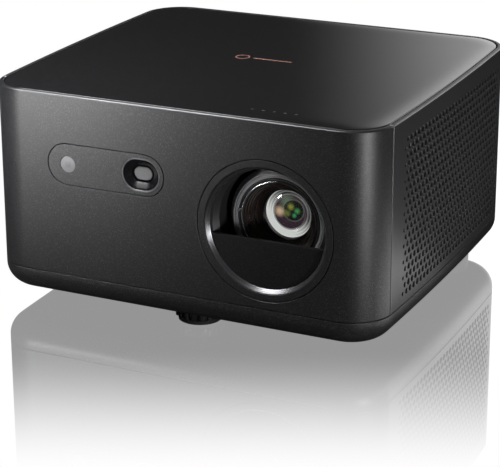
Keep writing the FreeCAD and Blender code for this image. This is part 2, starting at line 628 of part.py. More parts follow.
def speaker_cone():
    """The right driver's paper cone with its dust cap and voice coil former."""
    front = BOX_X[1] + 0.3
    return about_speaker([
        (CONE_R - 0.4, front + 1.2), (CONE_R, front + 1.2), (CONE_R, front + 2.0),
        (CONE_R - 0.8, front + 2.0), (7.0, front - 4.0), (0.0, front - 2.6), (0.0, front - 3.4),
        (7.0, front - 5.0), (7.0, front - 8.0), (7.6, front - 8.0), (7.6, front - 4.6)])


def board_components():
    """Chips, their heat spreader, coils and connectors on the main board, and the radio module."""
    z = SOCKET_TOP_Z
    parts = [
        box((-20, 14), (50, 78), (z, z + 6)), box((20, 34), (48, 62), (z, z + 1.4)),
        box((20, 34), (66, 80), (z, z + 1.4)), box((-40, -28), (50, 62), (z, z + 5)),
        box((-40, -28), (66, 78), (z, z + 5)), box((42, 58), (44, 50), (z, z + 6)),
        box((42, 58), (54, 60), (z, z + 6))]
    parts += [rod(3.2, (-58, y, z), Z_AXIS, 8) for y in (46, 55, 64, 73)]
    parts.append(box((-60, -30), (-70, -48), (FLOOR_Z + 4, FLOOR_Z + 5.2)))
    parts.append(box((-56, -42), (-66, -52), (FLOOR_Z + 5.2, FLOOR_Z + 7.4)))
    return parts


def io_plate():
    """The recessed socket plate with an opening for each socket, the button and the light."""
    x_span, z_span = (IO_X[0] + 0.2, IO_X[1] - 0.2), (IO_Z[0] + 0.2, IO_Z[1] - 0.2)
    face = rounded_block(x_span, (IO_FACE - 2, IO_FACE), z_span, 2.8, Y_AXIS)
    through, sill = (IO_FACE - 5, IO_FACE + 2), SOCKET_TOP_Z - 0.2
    holes = [box((x - 8.0, x + 8.0), through, (sill, sill + 6.6)) for x in VIDEO_X]
    holes.append(box((8.4, 23.6), through, (sill, sill + 7.6)))
    holes.append(rod(3.4, (34, IO_FACE - 5, SOCKET_TOP_Z + 3.6), Y_AXIS, 10))
    holes.append(rod(5.2, (-50, IO_FACE - 5, SOCKET_TOP_Z + 5.5), Y_AXIS, 10))
    button = stadium(BUTTON_X, BUTTON_Z, BUTTON_W + 0.6, BUTTON_H + 0.6, BODY_D - 10, BODY_D)
    holes += [button, rod(1.3, (LIGHT_X, IO_FACE - 5, BUTTON_Z), Y_AXIS, 10)]
    return face.cut(Part.makeCompound(holes))


def video_sockets():
    """Two flat sockets, each a shell with a tongue inside."""
    z = SOCKET_TOP_Z
    sockets = []
    for x in VIDEO_X:
        shell = box((x - 7.7, x + 7.7), (IO_FACE - 12, IO_FACE - 0.1), (z, z + 6.2))
        cavity = box((x - 7.0, x + 7.0), (IO_FACE - 10, IO_FACE + 1), (z + 0.8, z + 5.4))
        tongue = box((x - 5.0, x + 5.0), (IO_FACE - 10.5, IO_FACE - 1.2), (z + 2.9, z + 4.1))
        keys = []
        for low, high in ((x - 7.2, x - 6.0), (x + 6.0, x + 7.2)):
            keys.append(box((low, high), (IO_FACE - 10.5, IO_FACE - 0.1), (z + 0.6, z + 2.2)))
        sockets.append(join([shell.cut(cavity), tongue] + keys))
    return sockets


def usb_socket():
    """The upright-tongue data socket."""
    z = SOCKET_TOP_Z
    shell = box((8.8, 23.2), (IO_FACE - 13, IO_FACE - 0.1), (z, z + 7.2))
    cavity = box((9.5, 22.5), (IO_FACE - 11, IO_FACE + 1), (z + 0.8, z + 6.4))
    tongue = box((10.3, 21.7), (IO_FACE - 11.5, IO_FACE - 1), (z + 3.8, z + 5.6))
    return join([shell.cut(cavity), tongue])


def audio_jack():
    """The headphone socket."""
    z = SOCKET_TOP_Z + 3.6
    block = box((30, 38), (IO_FACE - 14, IO_FACE - 2.2), (SOCKET_TOP_Z, SOCKET_TOP_Z + 7.2))
    collar = rod(3.2, (34, IO_FACE - 2.3, z), Y_AXIS, 2.2)
    return join([block, collar]).cut(rod(1.8, (34, IO_FACE - 12, z), Y_AXIS, 14))


def dc_inlet():
    """The low-voltage inlet: a round socket with a centre pin."""
    z = SOCKET_TOP_Z + 5.5
    block = box((-55.5, -44.5), (IO_FACE - 14, IO_FACE - 2.2), (SOCKET_TOP_Z, SOCKET_TOP_Z + 11))
    collar = rod(5.0, (-50, IO_FACE - 2.3, z), Y_AXIS, 2.2)
    bore = rod(2.9, (-50, IO_FACE - 11, z), Y_AXIS, 14)
    pin = rod(1.0, (-50, IO_FACE - 12, z), Y_AXIS, 10.5)
    return join([join([block, collar]).cut(bore), pin])


def power_button():
    """The button's cap, its retaining flange and its stem."""
    depth = BODY_D - 1.95
    cap = stadium(BUTTON_X, BUTTON_Z, BUTTON_W, BUTTON_H, depth - 3.1, depth)
    flange = stadium(BUTTON_X, BUTTON_Z, BUTTON_W + 3, BUTTON_H + 3, depth - 3.1, depth - 2.1)
    stem = rod(1.5, (BUTTON_X, FRONT + depth - 6.0, BUTTON_Z), Y_AXIS, 3.5)
    return join([cap, flange, stem])


def button_board():
    """The small upright board with the switch behind the button and the status light."""
    y = IO_FACE - 12
    board = box((30, 60), (y, y + PCB_T), (SOCKET_TOP_Z + 12, 60))
    switch = box((BUTTON_X - 3, BUTTON_X + 3), (y + PCB_T, y + PCB_T + 3.2), (BUTTON_Z - 3, BUTTON_Z + 3))
    light = rod(1.2, (LIGHT_X, y + PCB_T, BUTTON_Z), Y_AXIS, 10.3)
    return [board, switch, light]


def foot_screw():
    """The front foot's knurled knob, neck and stud."""
    knob = rod(KNOB_R, (0, FRONT_FOOT_Y, KNOB_Z[0]), Z_AXIS, KNOB_Z[1] - KNOB_Z[0])
    knob = knob.makeChamfer(0.5, flat_edges(knob, KNOB_Z[1]) + flat_edges(knob, KNOB_Z[0]))
    cuts = []
    for index in range(KNURLS):
        angle = 2 * math.pi * index / KNURLS
        spot = (math.cos(angle) * (KNOB_R + 0.7), FRONT_FOOT_Y + math.sin(angle) * (KNOB_R + 0.7), 0)
        cuts.append(rod(KNURL_R, spot, Z_AXIS, 12))
    knob = knob.cut(Part.makeCompound(cuts))
    neck = rod(NECK_R, (0, FRONT_FOOT_Y, KNOB_Z[0] + 1), Z_AXIS, 7.2 - 0.6)
    stud = rod(STUD_R, (0, FRONT_FOOT_Y, KNOB_Z[0] + 1), Z_AXIS, STUD_TOP - KNOB_Z[0] - 1)
    return join([knob, neck, stud]).cut(rod(2.05, (0, FRONT_FOOT_Y, 0), Z_AXIS, 5.6))


def foot_pad():
    """The rubber pad that stays still while the knob turns on its pin."""
    pad = rod(PAD_R, (0, FRONT_FOOT_Y, 0), Z_AXIS, PAD_T)
    return join([pad, rod(2.0, (0, FRONT_FOOT_Y, 0), Z_AXIS, 5.2)])


def rear_feet():
    """The two rubber rear feet, each with a plug that sits in the tray."""
    feet = []
    for side in (-1, 1):
        foot = rod(REAR_FOOT_R, (side * REAR_FOOT_X, REAR_FOOT_Y, 0), Z_AXIS, BASE)
        foot = foot.makeFillet(1.0, flat_edges(foot, 0))
        feet.append(join([foot, rod(6.0, (side * REAR_FOOT_X, REAR_FOOT_Y, BASE - 1), Z_AXIS, 2.2)]))
    return feet


def brass_inserts():
    """The front foot's nut and the tripod thread."""
    nut = rod(7.0, (0, FRONT_FOOT_Y, FLOOR_Z), Z_AXIS, 18.5)
    nut = nut.cut(rod(STUD_R + RUNNING + 0.02, (0, FRONT_FOOT_Y, 0), Z_AXIS, 60))
    tripod = rod(TRIPOD_R, (0, TRIPOD_Y, BASE + 0.1), Z_AXIS, TRIPOD_LEN)
    return [nut, tripod.cut(rod(TRIPOD_BORE_R, (0, TRIPOD_Y, BASE), Z_AXIS, TRIPOD_LEN - 0.9))]


def case_screws():
    """The four long screws that hold the tray to the covers."""
    screws = []
    for x, y in SCREW_SPOTS:
        head = rod(2.9, (x, y, SCREW_SHELF_Z - 2.2), Z_AXIS, 2.2)
        drive = rod(1.2, (x, y, SCREW_SHELF_Z - 3), Z_AXIS, 2.0)
        screws.append(join([head.cut(drive), rod(1.48, (x, y, SCREW_SHELF_Z), Z_AXIS, 14)]))
    return screws


def dust_meshes():
    """A thin dark mesh behind each side's vents."""
    band = wall_band(WALL + LIP_T + 0.6, WALL + LIP_T + 1.0, TRAY_SEAM + 4, TOP - 10)
    band = y_slice(band, VENT_Y0 - 5, -VENT_Y0 + 11)
    return [band.common(box(x, (FRONT, BACK), (0, TOP))) for x in ((-BODY_W, 0), (0, BODY_W))]


def plain_boards():
    """The main board, the lamp driver board and the mirror-chip board."""
    main = box(MAIN_X, MAIN_Y, (MAIN_Z, MAIN_Z + PCB_T))
    driver_z = ENGINE_Z[1] + 8
    posts = [rod(2.5, (x, y, ENGINE_Z[1] + 2), Z_AXIS, 6) for x in (24, 80) for y in (-34, 26)]
    driver = [box((-36, 82), (-40, 30), (driver_z, driver_z + PCB_T))] + posts
    driver += [rod(4.0, (x, -10, driver_z + PCB_T), Z_AXIS, 9) for x in (-26, -15, -4)]
    driver.append(box((20, 50), (-20, 5), (driver_z + PCB_T, driver_z + PCB_T + 4)))
    y = ENGINE_Y[1]
    chip = box((LENS_X - 8, LENS_X + 8), (y - 2, y + 0.2), (LENS_Z - 5, LENS_Z + 5))
    mirror_board = box((LENS_X - 26, LENS_X + 26), (y + 0.2, y + 0.2 + PCB_T), (LENS_Z - 20, LENS_Z + 20))
    return main, driver, [chip, mirror_board]


def main():
    """Make every sub-part and write it."""
    os.makedirs("parts", exist_ok=True)
    skin = upper_skin()
    panel = side_panel(skin)
    save("front_cover", front_cover(skin))
    save("rear_cover", rear_cover(skin))
    save("side_panel_right", panel)
    save("side_panel_left", mirrored(panel))
    save("bottom_tray", bottom_tray())
    save("top_deck", top_deck())
    save("top_plate", top_plate())
    save("top_inlay", *top_mark())
    save("top_indicators", *top_pips())
    save("dust_meshes", *dust_meshes())
    save("case_screws", *case_screws())

    save("sensor_window", sensor_window())
    save("ir_lens", rod(EYE_R - 0.05, (EYE_X, FRONT + 0.1, PILL_Z), Y_AXIS, 1.6))
    save("camera_cone", camera_cone())
    glass_w, glass_h = CAM_WIN_W - 0.1, CAM_WIN_H - 0.1
    save("camera_window", stadium(CAM_X, PILL_Z, glass_w, glass_h, CAM_DEPTH, CAM_DEPTH + 1.0))
    save("sensor_board", *sensor_board())

    save("lens_trim_ring", trim_ring())
    save("lens_tunnel", lens_tunnel())
    save("lens_mask", lens_mask())
    save("lens_shroud", lens_shroud())
    save("lens_barrel", lens_barrel())
    save("lens_cell", lens_cell())
    save("front_lens", glass_disc(GLASS_R - 0.05, 29.6, 33.9, 2.6))
    rear_glass = [glass_disc(14.95, 53.0, 56.0, 1.5), glass_disc(14.95, 59.5, 62.0, 1.0)]
    save("rear_lenses", *rear_glass)
    save("focus_ring", toothed_ring())
    save("focus_retainer", lens_tube(30.0, BARREL_R, 32.4, 33.7))
    save("focus_pinion", focus_pinion())
    save("focus_motor", focus_motor())
    save("motor_bracket", motor_bracket())

    save("optical_engine", optical_engine())
    lid_z = ENGINE_Z[1]
    save("engine_lid", box(ENGINE_X, ENGINE_Y, (lid_z, lid_z + 2)))
    save("prism", box((LENS_X - 11, LENS_X + 11), (0, 24), (LENS_Z - 11, LENS_Z + 11)))
    board, driver, mirror_chip = plain_boards()
    save("mirror_chip_board", *mirror_chip)
    save("led_modules", *led_modules())
    pipes = heat_pipes()
    save("heat_pipes", *pipes)
    save("cold_block", cold_block(pipes))
    save("fin_stack", fin_stack(pipes))
    save("heatsink_right", heatsink_right())

    frame = on_right_side(fan_frame(), FAN_X)
    rotor = on_right_side(fan_rotor(), FAN_X)
    save("fan_frames", frame, mirrored(frame))
    save("fan_rotor_right", rotor)
    save("fan_rotor_left", mirrored(rotor))
    save("speaker_boxes", speaker_box(), mirrored(speaker_box()))
    save("speaker_drivers", speaker_driver(), mirrored(speaker_driver()))
    save("speaker_cone_right", speaker_cone())
    save("speaker_cone_left", mirrored(speaker_cone()))

    save("main_board", board)
    save("board_components", *board_components())
    save("driver_board", *driver)
    save("io_plate", io_plate())
    save("video_sockets", *video_sockets())
    save("usb_socket", usb_socket())
    save("audio_jack", audio_jack())
    save("dc_inlet", dc_inlet())
    save("power_button", power_button())
    save("button_board", *button_board())

    save("foot_screw", foot_screw())
    save("foot_pad", foot_pad())
    save("rear_feet", *rear_feet())
    save("brass_inserts", *brass_inserts())


main()
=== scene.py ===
"""Home projector: visible shapes, finishes, light and camera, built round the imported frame."""
import logging
import math
from dataclasses import dataclass
from enum import Enum
from functools import cache
from typing import Any, Optional, Sequence

import bmesh
import bpy
from mathutils import Matrix, Vector


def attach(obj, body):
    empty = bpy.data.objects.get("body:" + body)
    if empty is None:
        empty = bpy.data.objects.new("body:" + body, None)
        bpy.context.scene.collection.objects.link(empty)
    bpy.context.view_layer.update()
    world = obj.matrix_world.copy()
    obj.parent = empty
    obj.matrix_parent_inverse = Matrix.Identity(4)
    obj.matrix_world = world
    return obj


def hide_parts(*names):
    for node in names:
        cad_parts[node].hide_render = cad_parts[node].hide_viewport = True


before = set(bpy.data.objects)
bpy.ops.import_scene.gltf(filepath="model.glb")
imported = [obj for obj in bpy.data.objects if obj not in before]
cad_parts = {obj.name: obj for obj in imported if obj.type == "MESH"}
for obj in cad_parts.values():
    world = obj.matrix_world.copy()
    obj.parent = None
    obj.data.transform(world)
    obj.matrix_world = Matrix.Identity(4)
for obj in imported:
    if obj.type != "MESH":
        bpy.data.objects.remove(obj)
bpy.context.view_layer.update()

MM = 0.001
FRONT, BACK, TOP, BASE = -103.75, 103.75, 124.5, 10.0
TRAY_SEAM, FRONT_SEAM, REAR_SEAM, SHUT, WALL = 24.3, -84.25, 92.05, 0.3, 2.5
LENS_X, LENS_Z = 51.8, 66.5
PILL_X, PILL_Z = -39.4, 86.8
FOOT_Y = -73.75

Point = tuple[float, float, float]
Pair = tuple[float, float]
Rgb = tuple[float, float, float]
Station = tuple[Pair, Pair]
Obj, Tree, Node, Socket = bpy.types.Object, bpy.types.NodeTree, bpy.types.Node, bpy.types.NodeSocket
log = logging.getLogger("projector")


# ---------------------------------------------------------------- node helpers

def plug(tree: Tree, socket: Socket, value: Any) -> None:
    """Link a socket to another one, or set its own value."""
    if isinstance(value, Socket):
        tree.links.new(value, socket)
    elif isinstance(value, tuple) and len(value) == 3 and socket.type == "RGBA":
        socket.default_value = (*value, 1.0)
    else:
        socket.default_value = value


def add_node(tree: Tree, kind: str, inputs: Optional[dict] = None, **settings: Any) -> Node:
    """Add a node to a tree.

    Args:
        tree: The tree that the node goes in.
        kind: The node's type name.
        inputs: Values or sockets for the node's inputs, by name or number.
        settings: The node's own properties.

    Returns:
        The new node.
    """
    node = tree.nodes.new(kind)
    for key, value in settings.items():
        setattr(node, key, value)
    for key, value in (inputs or {}).items():
        plug(tree, node.inputs[key], value)
    return node


def calc(tree: Tree, operation: str, *values: Any) -> Socket:
    """One Math node's result."""
    return add_node(tree, "ShaderNodeMath", dict(enumerate(values)), operation=operation).outputs[0]


def vector_calc(tree: Tree, operation: str, output: str, *values: Any) -> Socket:
    """One Vector Math node's named result."""
    return add_node(tree, "ShaderNodeVectorMath", dict(enumerate(values)), operation=operation).outputs[output]


def ramp(tree: Tree, value: Any, low: float, high: float, to_low: float = 0.0,
         to_high: float = 1.0) -> Socket:
    """A value carried smoothly from one range to another."""
    inputs = {"Value": value, "From Min": low, "From Max": high, "To Min": to_low, "To Max": to_high}
    return add_node(tree, "ShaderNodeMapRange", inputs, interpolation_type="SMOOTHSTEP").outputs["Result"]


def blend_colour(tree: Tree, share: Any, first: Any, second: Any) -> Socket:
    """A mix of two colours."""
    node = add_node(tree, "ShaderNodeMix", data_type="RGBA")
    for index, value in ((0, share), (6, first), (7, second)):
        plug(tree, node.inputs[index], value)
    return node.outputs[2]


def new_tree(name: str, kind: str, inputs: dict[str, tuple[str, Any]], outputs: dict[str, str]) -> tuple[
        Tree, Node, Node]:
    """Start a node group with named sockets.

    Args:
        name: The group's name.
        kind: ShaderNodeTree or GeometryNodeTree.
        inputs: Socket type and first value for each input; None leaves the value alone.
        outputs: Socket type for each output.

    Returns:
        The tree, its input node and its output node.
    """
    tree = bpy.data.node_groups.new(name, kind)
    for label, (socket_type, value) in inputs.items():
        socket = tree.interface.new_socket(label, in_out="INPUT", socket_type="NodeSocket" + socket_type)
        if value is not None:
            socket.default_value = (*value, 1.0) if socket_type == "Color" else value
    for label, socket_type in outputs.items():
        tree.interface.new_socket(label, in_out="OUTPUT", socket_type="NodeSocket" + socket_type)
    return tree, tree.nodes.new("NodeGroupInput"), tree.nodes.new("NodeGroupOutput")


# ---------------------------------------------------------------- surface groups

class Surface(Enum):
    """The kinds of surface texture, each made by one shared node group."""

    FLECK = "fleck_paint"
    MOULDED = "moulded_grain"
    TURNED = "turning_marks"
    WOVEN = "fine_weave"


GROUP_INPUTS = {
    "Base": ("Color", (0.1, 0.1, 0.1)), "Second": ("Color", (0.2, 0.2, 0.2)), "Size": ("Float", 0.5),
    "Amount": ("Float", 0.5), "Roughness": ("Float", 0.5), "Swing": ("Float", 0.1),
    "Centre": ("Vector", (0.0, 0.0, 0.0)), "Across": ("Vector", (1.0, 0.0, 1.0))}
GROUP_OUTPUTS = {"Colour": "Color", "Roughness": "Float", "Height": "Float"}


class SurfaceGroups:
    """Builds each shared surface group once."""

    @staticmethod
    @cache
    def group(surface: Surface) -> Tree:
        """The node group for a surface, made when it is first asked for."""
        tree, entry, leave = new_tree(surface.value, "ShaderNodeTree", GROUP_INPUTS, GROUP_OUTPUTS)
        spot = add_node(tree, "ShaderNodeTexCoord").outputs["Object"]
        cells = calc(tree, "DIVIDE", 1000.0, entry.outputs["Size"])
        pattern = {
            Surface.FLECK: SurfaceGroups.fleck, Surface.MOULDED: SurfaceGroups.moulded,
            Surface.TURNED: SurfaceGroups.turned_marks, Surface.WOVEN: SurfaceGroups.woven}[surface]
        mask, height = pattern(tree, entry, spot, cells)
        cloud = add_node(tree, "ShaderNodeTexNoise", {"Vector": spot, "Scale": 45.0, "Detail": 3.0}).outputs[0]
        share = calc(tree, "MULTIPLY", mask, entry.outputs["Amount"])
        drift = calc(tree, "MULTIPLY", calc(tree, "SUBTRACT", cloud, 0.5), entry.outputs["Swing"])
        rough = calc(tree, "ADD", entry.outputs["Roughness"], drift)
        rough = calc(tree, "ADD", rough, calc(tree, "MULTIPLY", mask, -0.06))
        colour = blend_colour(tree, share, entry.outputs["Base"], entry.outputs["Second"])
        plug(tree, leave.inputs["Colour"], colour)
        plug(tree, leave.inputs["Roughness"], rough)
        plug(tree, leave.inputs["Height"], height)
        return tree

    @staticmethod
    def fleck(tree: Tree, entry: Node, spot: Any, cells: Any) -> tuple[Any, Any]:
        """Bright flakes scattered at random in a paint film."""
        flakes = add_node(tree, "ShaderNodeTexVoronoi", {"Vector": spot, "Scale": cells})
        chance = add_node(tree, "ShaderNodeSeparateColor", {0: flakes.outputs["Color"]}).outputs[0]
        fine = add_node(tree, "ShaderNodeTexNoise", {"Vector": spot, "Scale": cells, "Detail": 2.0}).outputs[0]
        bright = ramp(tree, chance, 0.62, 1.0)
        near = ramp(tree, flakes.outputs["Distance"], 0.62, 0.15)
        mask = calc(tree, "ADD", calc(tree, "MULTIPLY", bright, near), ramp(tree, fine, 0.45, 0.75, 0.0, 0.35))
        return mask, calc(tree, "ADD", fine, calc(tree, "MULTIPLY", mask, 0.5))

    @staticmethod
    def moulded(tree: Tree, entry: Node, spot: Any, cells: Any) -> tuple[Any, Any]:
        """A spark-eroded mould's fine grain."""
        inputs = {"Vector": spot, "Scale": cells, "Detail": 4.0, "Roughness": 0.6}
        grain = add_node(tree, "ShaderNodeTexNoise", inputs).outputs[0]
        return ramp(tree, grain, 0.35, 0.7), grain

    @staticmethod
    def turned_marks(tree: Tree, entry: Node, spot: Any, cells: Any) -> tuple[Any, Any]:
        """Tool marks in rings about an axis, with slow bands of tint between them."""
        away = vector_calc(tree, "SUBTRACT", "Vector", spot, entry.outputs["Centre"])
        flat = vector_calc(tree, "MULTIPLY", "Vector", away, entry.outputs["Across"])
        radius = vector_calc(tree, "LENGTH", "Value", flat)
        rings = calc(tree, "SINE", calc(tree, "MULTIPLY", calc(tree, "MULTIPLY", radius, cells), math.tau))
        inputs = {"Vector": spot, "Scale": 900.0, "Detail": 2.0}
        grain = add_node(tree, "ShaderNodeTexNoise", inputs).outputs[0]
        bands = add_node(tree, "ShaderNodeTexNoise", {"W": calc(tree, "MULTIPLY", radius, 420.0), "Scale": 1.0},
                         noise_dimensions="1D").outputs[0]
        height = calc(tree, "ADD", calc(tree, "MULTIPLY", rings, 0.5), grain)
        return ramp(tree, bands, 0.45, 0.65), height

    @staticmethod
    def woven(tree: Tree, entry: Node, spot: Any, cells: Any) -> tuple[Any, Any]:
        """Crossing threads in the plane of the side panels."""
        parts = add_node(tree, "ShaderNodeSeparateXYZ", {0: spot})
        waves = [calc(tree, "SINE", calc(tree, "MULTIPLY", calc(tree, "MULTIPLY", parts.outputs[axis], cells),
                                         math.tau)) for axis in (1, 2)]
        cross = calc(tree, "MULTIPLY", *waves)
        return ramp(tree, cross, -0.2, 0.6), cross


# ---------------------------------------------------------------- finishes

@dataclass(frozen=True)
class Finish:
    """One finish: its colours in linear light, gloss and surface texture (size and depth in millimetres)."""

    name: str
    colour: Rgb
    roughness: float = 0.5
    second: Optional[Rgb] = None
    surface: Surface = Surface.MOULDED
    size: float = 0.5
    amount: float = 0.5
    swing: float = 0.08
    depth: float = 0.01
    metallic: float = 0.0
    ior: float = 1.5
    coat: float = 0.0
    coat_roughness: float = 0.1
    transmission: float = 0.0
    emission: float = 0.0
    centre: Point = (LENS_X, 0.0, LENS_Z)
    across: Point = (1.0, 0.0, 1.0)

    @cache
    def material(self) -> bpy.types.Material:
        """The finish as a material, made when it is first asked for."""
        made = bpy.data.materials.new("finish_" + self.name)
        made.use_nodes = True
        tree = made.node_tree
        tree.nodes.clear()
        second = self.second or tuple(min(1.0, part * 1.5) for part in self.colour)
        inputs = {
            "Base": self.colour, "Second": second, "Size": self.size, "Amount": self.amount,
            "Roughness": self.roughness, "Swing": self.swing,
            "Centre": tuple(part * MM for part in self.centre), "Across": self.across}
        group = add_node(tree, "ShaderNodeGroup", inputs, node_tree=SurfaceGroups.group(self.surface))
        bump = add_node(tree, "ShaderNodeBump", {"Height": group.outputs["Height"], "Distance": self.depth * MM})
        shader = add_node(tree, "ShaderNodeBsdfPrincipled", {
            "Base Color": group.outputs["Colour"], "Roughness": group.outputs["Roughness"],
            "Normal": bump.outputs[0], "Metallic": self.metallic, "IOR": self.ior,
            "Coat Weight": self.coat, "Coat Roughness": self.coat_roughness,
            "Transmission Weight": self.transmission})
        if self.emission:
            plug(tree, shader.inputs["Emission Color"], group.outputs["Colour"])
            shader.inputs["Emission Strength"].default_value = self.emission
        add_node(tree, "ShaderNodeOutputMaterial", {"Surface": shader.outputs[0]})
        return made


COVER = Finish("cover_fleck_paint", (0.010, 0.010, 0.011), 0.41, (0.17, 0.17, 0.18), Surface.FLECK, 0.38, 0.5,
               0.05, 0.016)
TRAY = Finish("tray_fleck_paint", (0.013, 0.013, 0.014), 0.42, (0.16, 0.16, 0.17), Surface.FLECK, 0.5, 0.5,
              0.05, 0.012)
SIDE = Finish("side_satin", (0.022, 0.022, 0.024), 0.42, (0.045, 0.045, 0.048), size=0.3, amount=0.6, depth=0.003)
TOP_GLOSS = Finish("top_gloss", (0.013, 0.013, 0.014), 0.15, size=3.0, swing=0.02, depth=0.0005)
INLAY = Finish("rose_inlay", (0.62, 0.29, 0.24), 0.42, size=0.2, metallic=0.35, depth=0.002)
PIPS = Finish("pip_plastic", (0.07, 0.052, 0.045), 0.35, size=0.3, depth=0.002)
WINDOW = Finish("window_fleck", (0.014, 0.014, 0.015), 0.42, (0.17, 0.17, 0.18), Surface.FLECK, 0.5, 0.5, 0.05,
                0.012)
EYE = Finish("eye_frosted", (0.16, 0.16, 0.165), 0.5, size=0.4, amount=0.3, depth=0.004)
EYE_CORE = Finish("eye_core", (0.135, 0.135, 0.14), 0.5, size=0.4, amount=0.3, depth=0.004)
GLOSS_BLACK = Finish("gloss_black", (0.006, 0.006, 0.007), 0.24, size=2.0, swing=0.04, depth=0.001)
BEZEL = Finish("bezel_grey", (0.10, 0.10, 0.105), 0.35, size=0.4, depth=0.003)
PANE = Finish("camera_pane", (0.15, 0.15, 0.155), 0.5, size=1.2, amount=0.2, depth=0.001)
PANE_EDGE = Finish("pane_edge_black", (0.002, 0.002, 0.002), 0.6, size=0.6, amount=0.3, depth=0.002, ior=1.08)
# The rounded top edges get this brighter metallic copy of the cover paint, a painted highlight along the rim.
RIM_HIGHLIGHT = Finish("bright_rim", (0.14, 0.14, 0.145), 0.42, size=0.3, metallic=1.0, depth=0.002)
TUNNEL = Finish("tunnel_black", (0.095, 0.095, 0.10), 0.32, surface=Surface.TURNED, size=0.35, amount=0.4,
                depth=0.004, metallic=0.7)
MASK = Finish("mask_paint", (0.007, 0.007, 0.0075), 0.5, (0.07, 0.07, 0.075), Surface.FLECK, 0.4, 0.5, 0.05, 0.01,
              ior=1.3)
SEAL = Finish("seal_rubber", (0.008, 0.008, 0.008), 0.8, size=0.6, depth=0.01)
# Barrel metal whose base colour is raised to a light grey. This stands in for a reflection of the lit tunnel wall, so
# it is partly a painted reflection.
BARREL_WITH_PAINTED_SHEEN = Finish("barrel_anodised", (0.40, 0.40, 0.41), 0.34, (0.50, 0.50, 0.51), Surface.TURNED, 0.3, 0.5,
                depth=0.003, metallic=0.15)
CELL = Finish("cell_blackened", (0.016, 0.013, 0.012), 0.32, (0.05, 0.022, 0.018), Surface.TURNED, 0.28, 0.6,
              depth=0.003, metallic=0.3)
CELL_BAND = Finish("cell_band", (0.07, 0.07, 0.075), 0.33, (0.13, 0.13, 0.14), Surface.TURNED, 0.25, 0.5,
                   depth=0.003, metallic=0.5)
BRIGHT = Finish("bright_edge", (0.62, 0.62, 0.62), 0.22, surface=Surface.TURNED, size=0.2, depth=0.002,
                metallic=1.0)
STEEL = Finish("steel", (0.46, 0.46, 0.47), 0.3, size=0.25, metallic=1.0, depth=0.003)
FOOT = Finish("foot_black", (0.012, 0.012, 0.013), 0.38, size=0.5, depth=0.006)
RUBBER = Finish("rubber", (0.016, 0.016, 0.017), 0.72, size=0.5, depth=0.01)

SLOT_FINISH = {
    "cover_paint": COVER, "side_paint": SIDE, "tray_paint": TRAY, "seal_rubber": SEAL, "steel": STEEL,
    "rubber": RUBBER, "foot_black": FOOT,
    "mesh_black": Finish("mesh_black", (0.004, 0.004, 0.004), 0.6, (0.03, 0.03, 0.03), Surface.WOVEN, 0.5, 0.8,
                         depth=0.05),
    "gear_plastic": Finish("acetal", (0.66, 0.65, 0.60), 0.42, size=0.8, amount=0.2),
    "motor_can": Finish("motor_can", (0.5, 0.5, 0.52), 0.3, size=0.3, metallic=1.0, depth=0.004),
    "cast_metal": Finish("cast_metal", (0.40, 0.40, 0.41), 0.55, size=0.6, metallic=1.0, depth=0.03),
    "pcb_green": Finish("board_green", (0.015, 0.13, 0.06), 0.35, (0.03, 0.2, 0.1), size=1.5, amount=0.6),
    "copper": Finish("copper", (0.80, 0.36, 0.20), 0.28, size=0.5, metallic=1.0, depth=0.003),
    "fin_metal": Finish("fin_metal", (0.72, 0.72, 0.73), 0.35, size=0.4, metallic=1.0, depth=0.004),
    "fan_plastic": Finish("fan_plastic", (0.018, 0.018, 0.019), 0.4, size=0.5),
    "box_plastic": Finish("box_plastic", (0.020, 0.020, 0.021), 0.5, size=0.5, depth=0.02),
    "cone_paper": Finish("cone_paper", (0.05, 0.05, 0.055), 0.8, size=0.9, depth=0.04),
    "chip_black": Finish("chip_black", (0.02, 0.02, 0.022), 0.45, size=0.4, depth=0.008),
    "io_black": Finish("io_black", (0.018, 0.018, 0.019), 0.48, size=0.35, depth=0.02),
    "socket_steel": Finish("socket_steel", (0.58, 0.58, 0.59), 0.26, size=0.3, metallic=1.0, depth=0.003),
    "button_plastic": Finish("button_plastic", (0.05, 0.05, 0.053), 0.33, size=0.35, depth=0.004),
    "brass": Finish("brass", (0.75, 0.52, 0.22), 0.28, size=0.3, metallic=1.0, depth=0.003),
    "lens_glass": Finish("inner_glass", (0.02, 0.03, 0.035), 0.12, size=2.0, swing=0.02, depth=0.0),
    "tunnel_black": TUNNEL, "cell_black": CELL, "barrel_metal": BARREL_WITH_PAINTED_SHEEN}

KEPT_NODES = {
    "top_deck": "box_plastic", "dust_meshes": "mesh_black", "case_screws": "steel", "sensor_board": "pcb_green",
    "lens_shroud": "seal_rubber", "rear_lenses": "lens_glass", "focus_ring": "gear_plastic",
    "focus_retainer": "steel", "focus_pinion": "gear_plastic", "focus_motor": "motor_can",
    "motor_bracket": "steel", "optical_engine": "cast_metal", "engine_lid": "cast_metal", "prism": "lens_glass",
    "mirror_chip_board": "pcb_green", "led_modules": "pcb_green", "heat_pipes": "copper", "cold_block": "copper",
    "fin_stack": "fin_metal", "heatsink_right": "fin_metal", "fan_frames": "fan_plastic",
    "fan_rotor_right": "fan_plastic", "fan_rotor_left": "fan_plastic", "speaker_boxes": "box_plastic",
    "speaker_drivers": "motor_can", "speaker_cone_right": "cone_paper", "speaker_cone_left": "cone_paper",
    "main_board": "pcb_green", "board_components": "chip_black", "driver_board": "pcb_green",
    "io_plate": "io_black", "video_sockets": "socket_steel", "usb_socket": "socket_steel",
    "audio_jack": "chip_black", "dc_inlet": "chip_black", "button_board": "pcb_green", "foot_pad": "rubber",
    "brass_inserts": "brass"}


# ---------------------------------------------------------------- mesh helpers

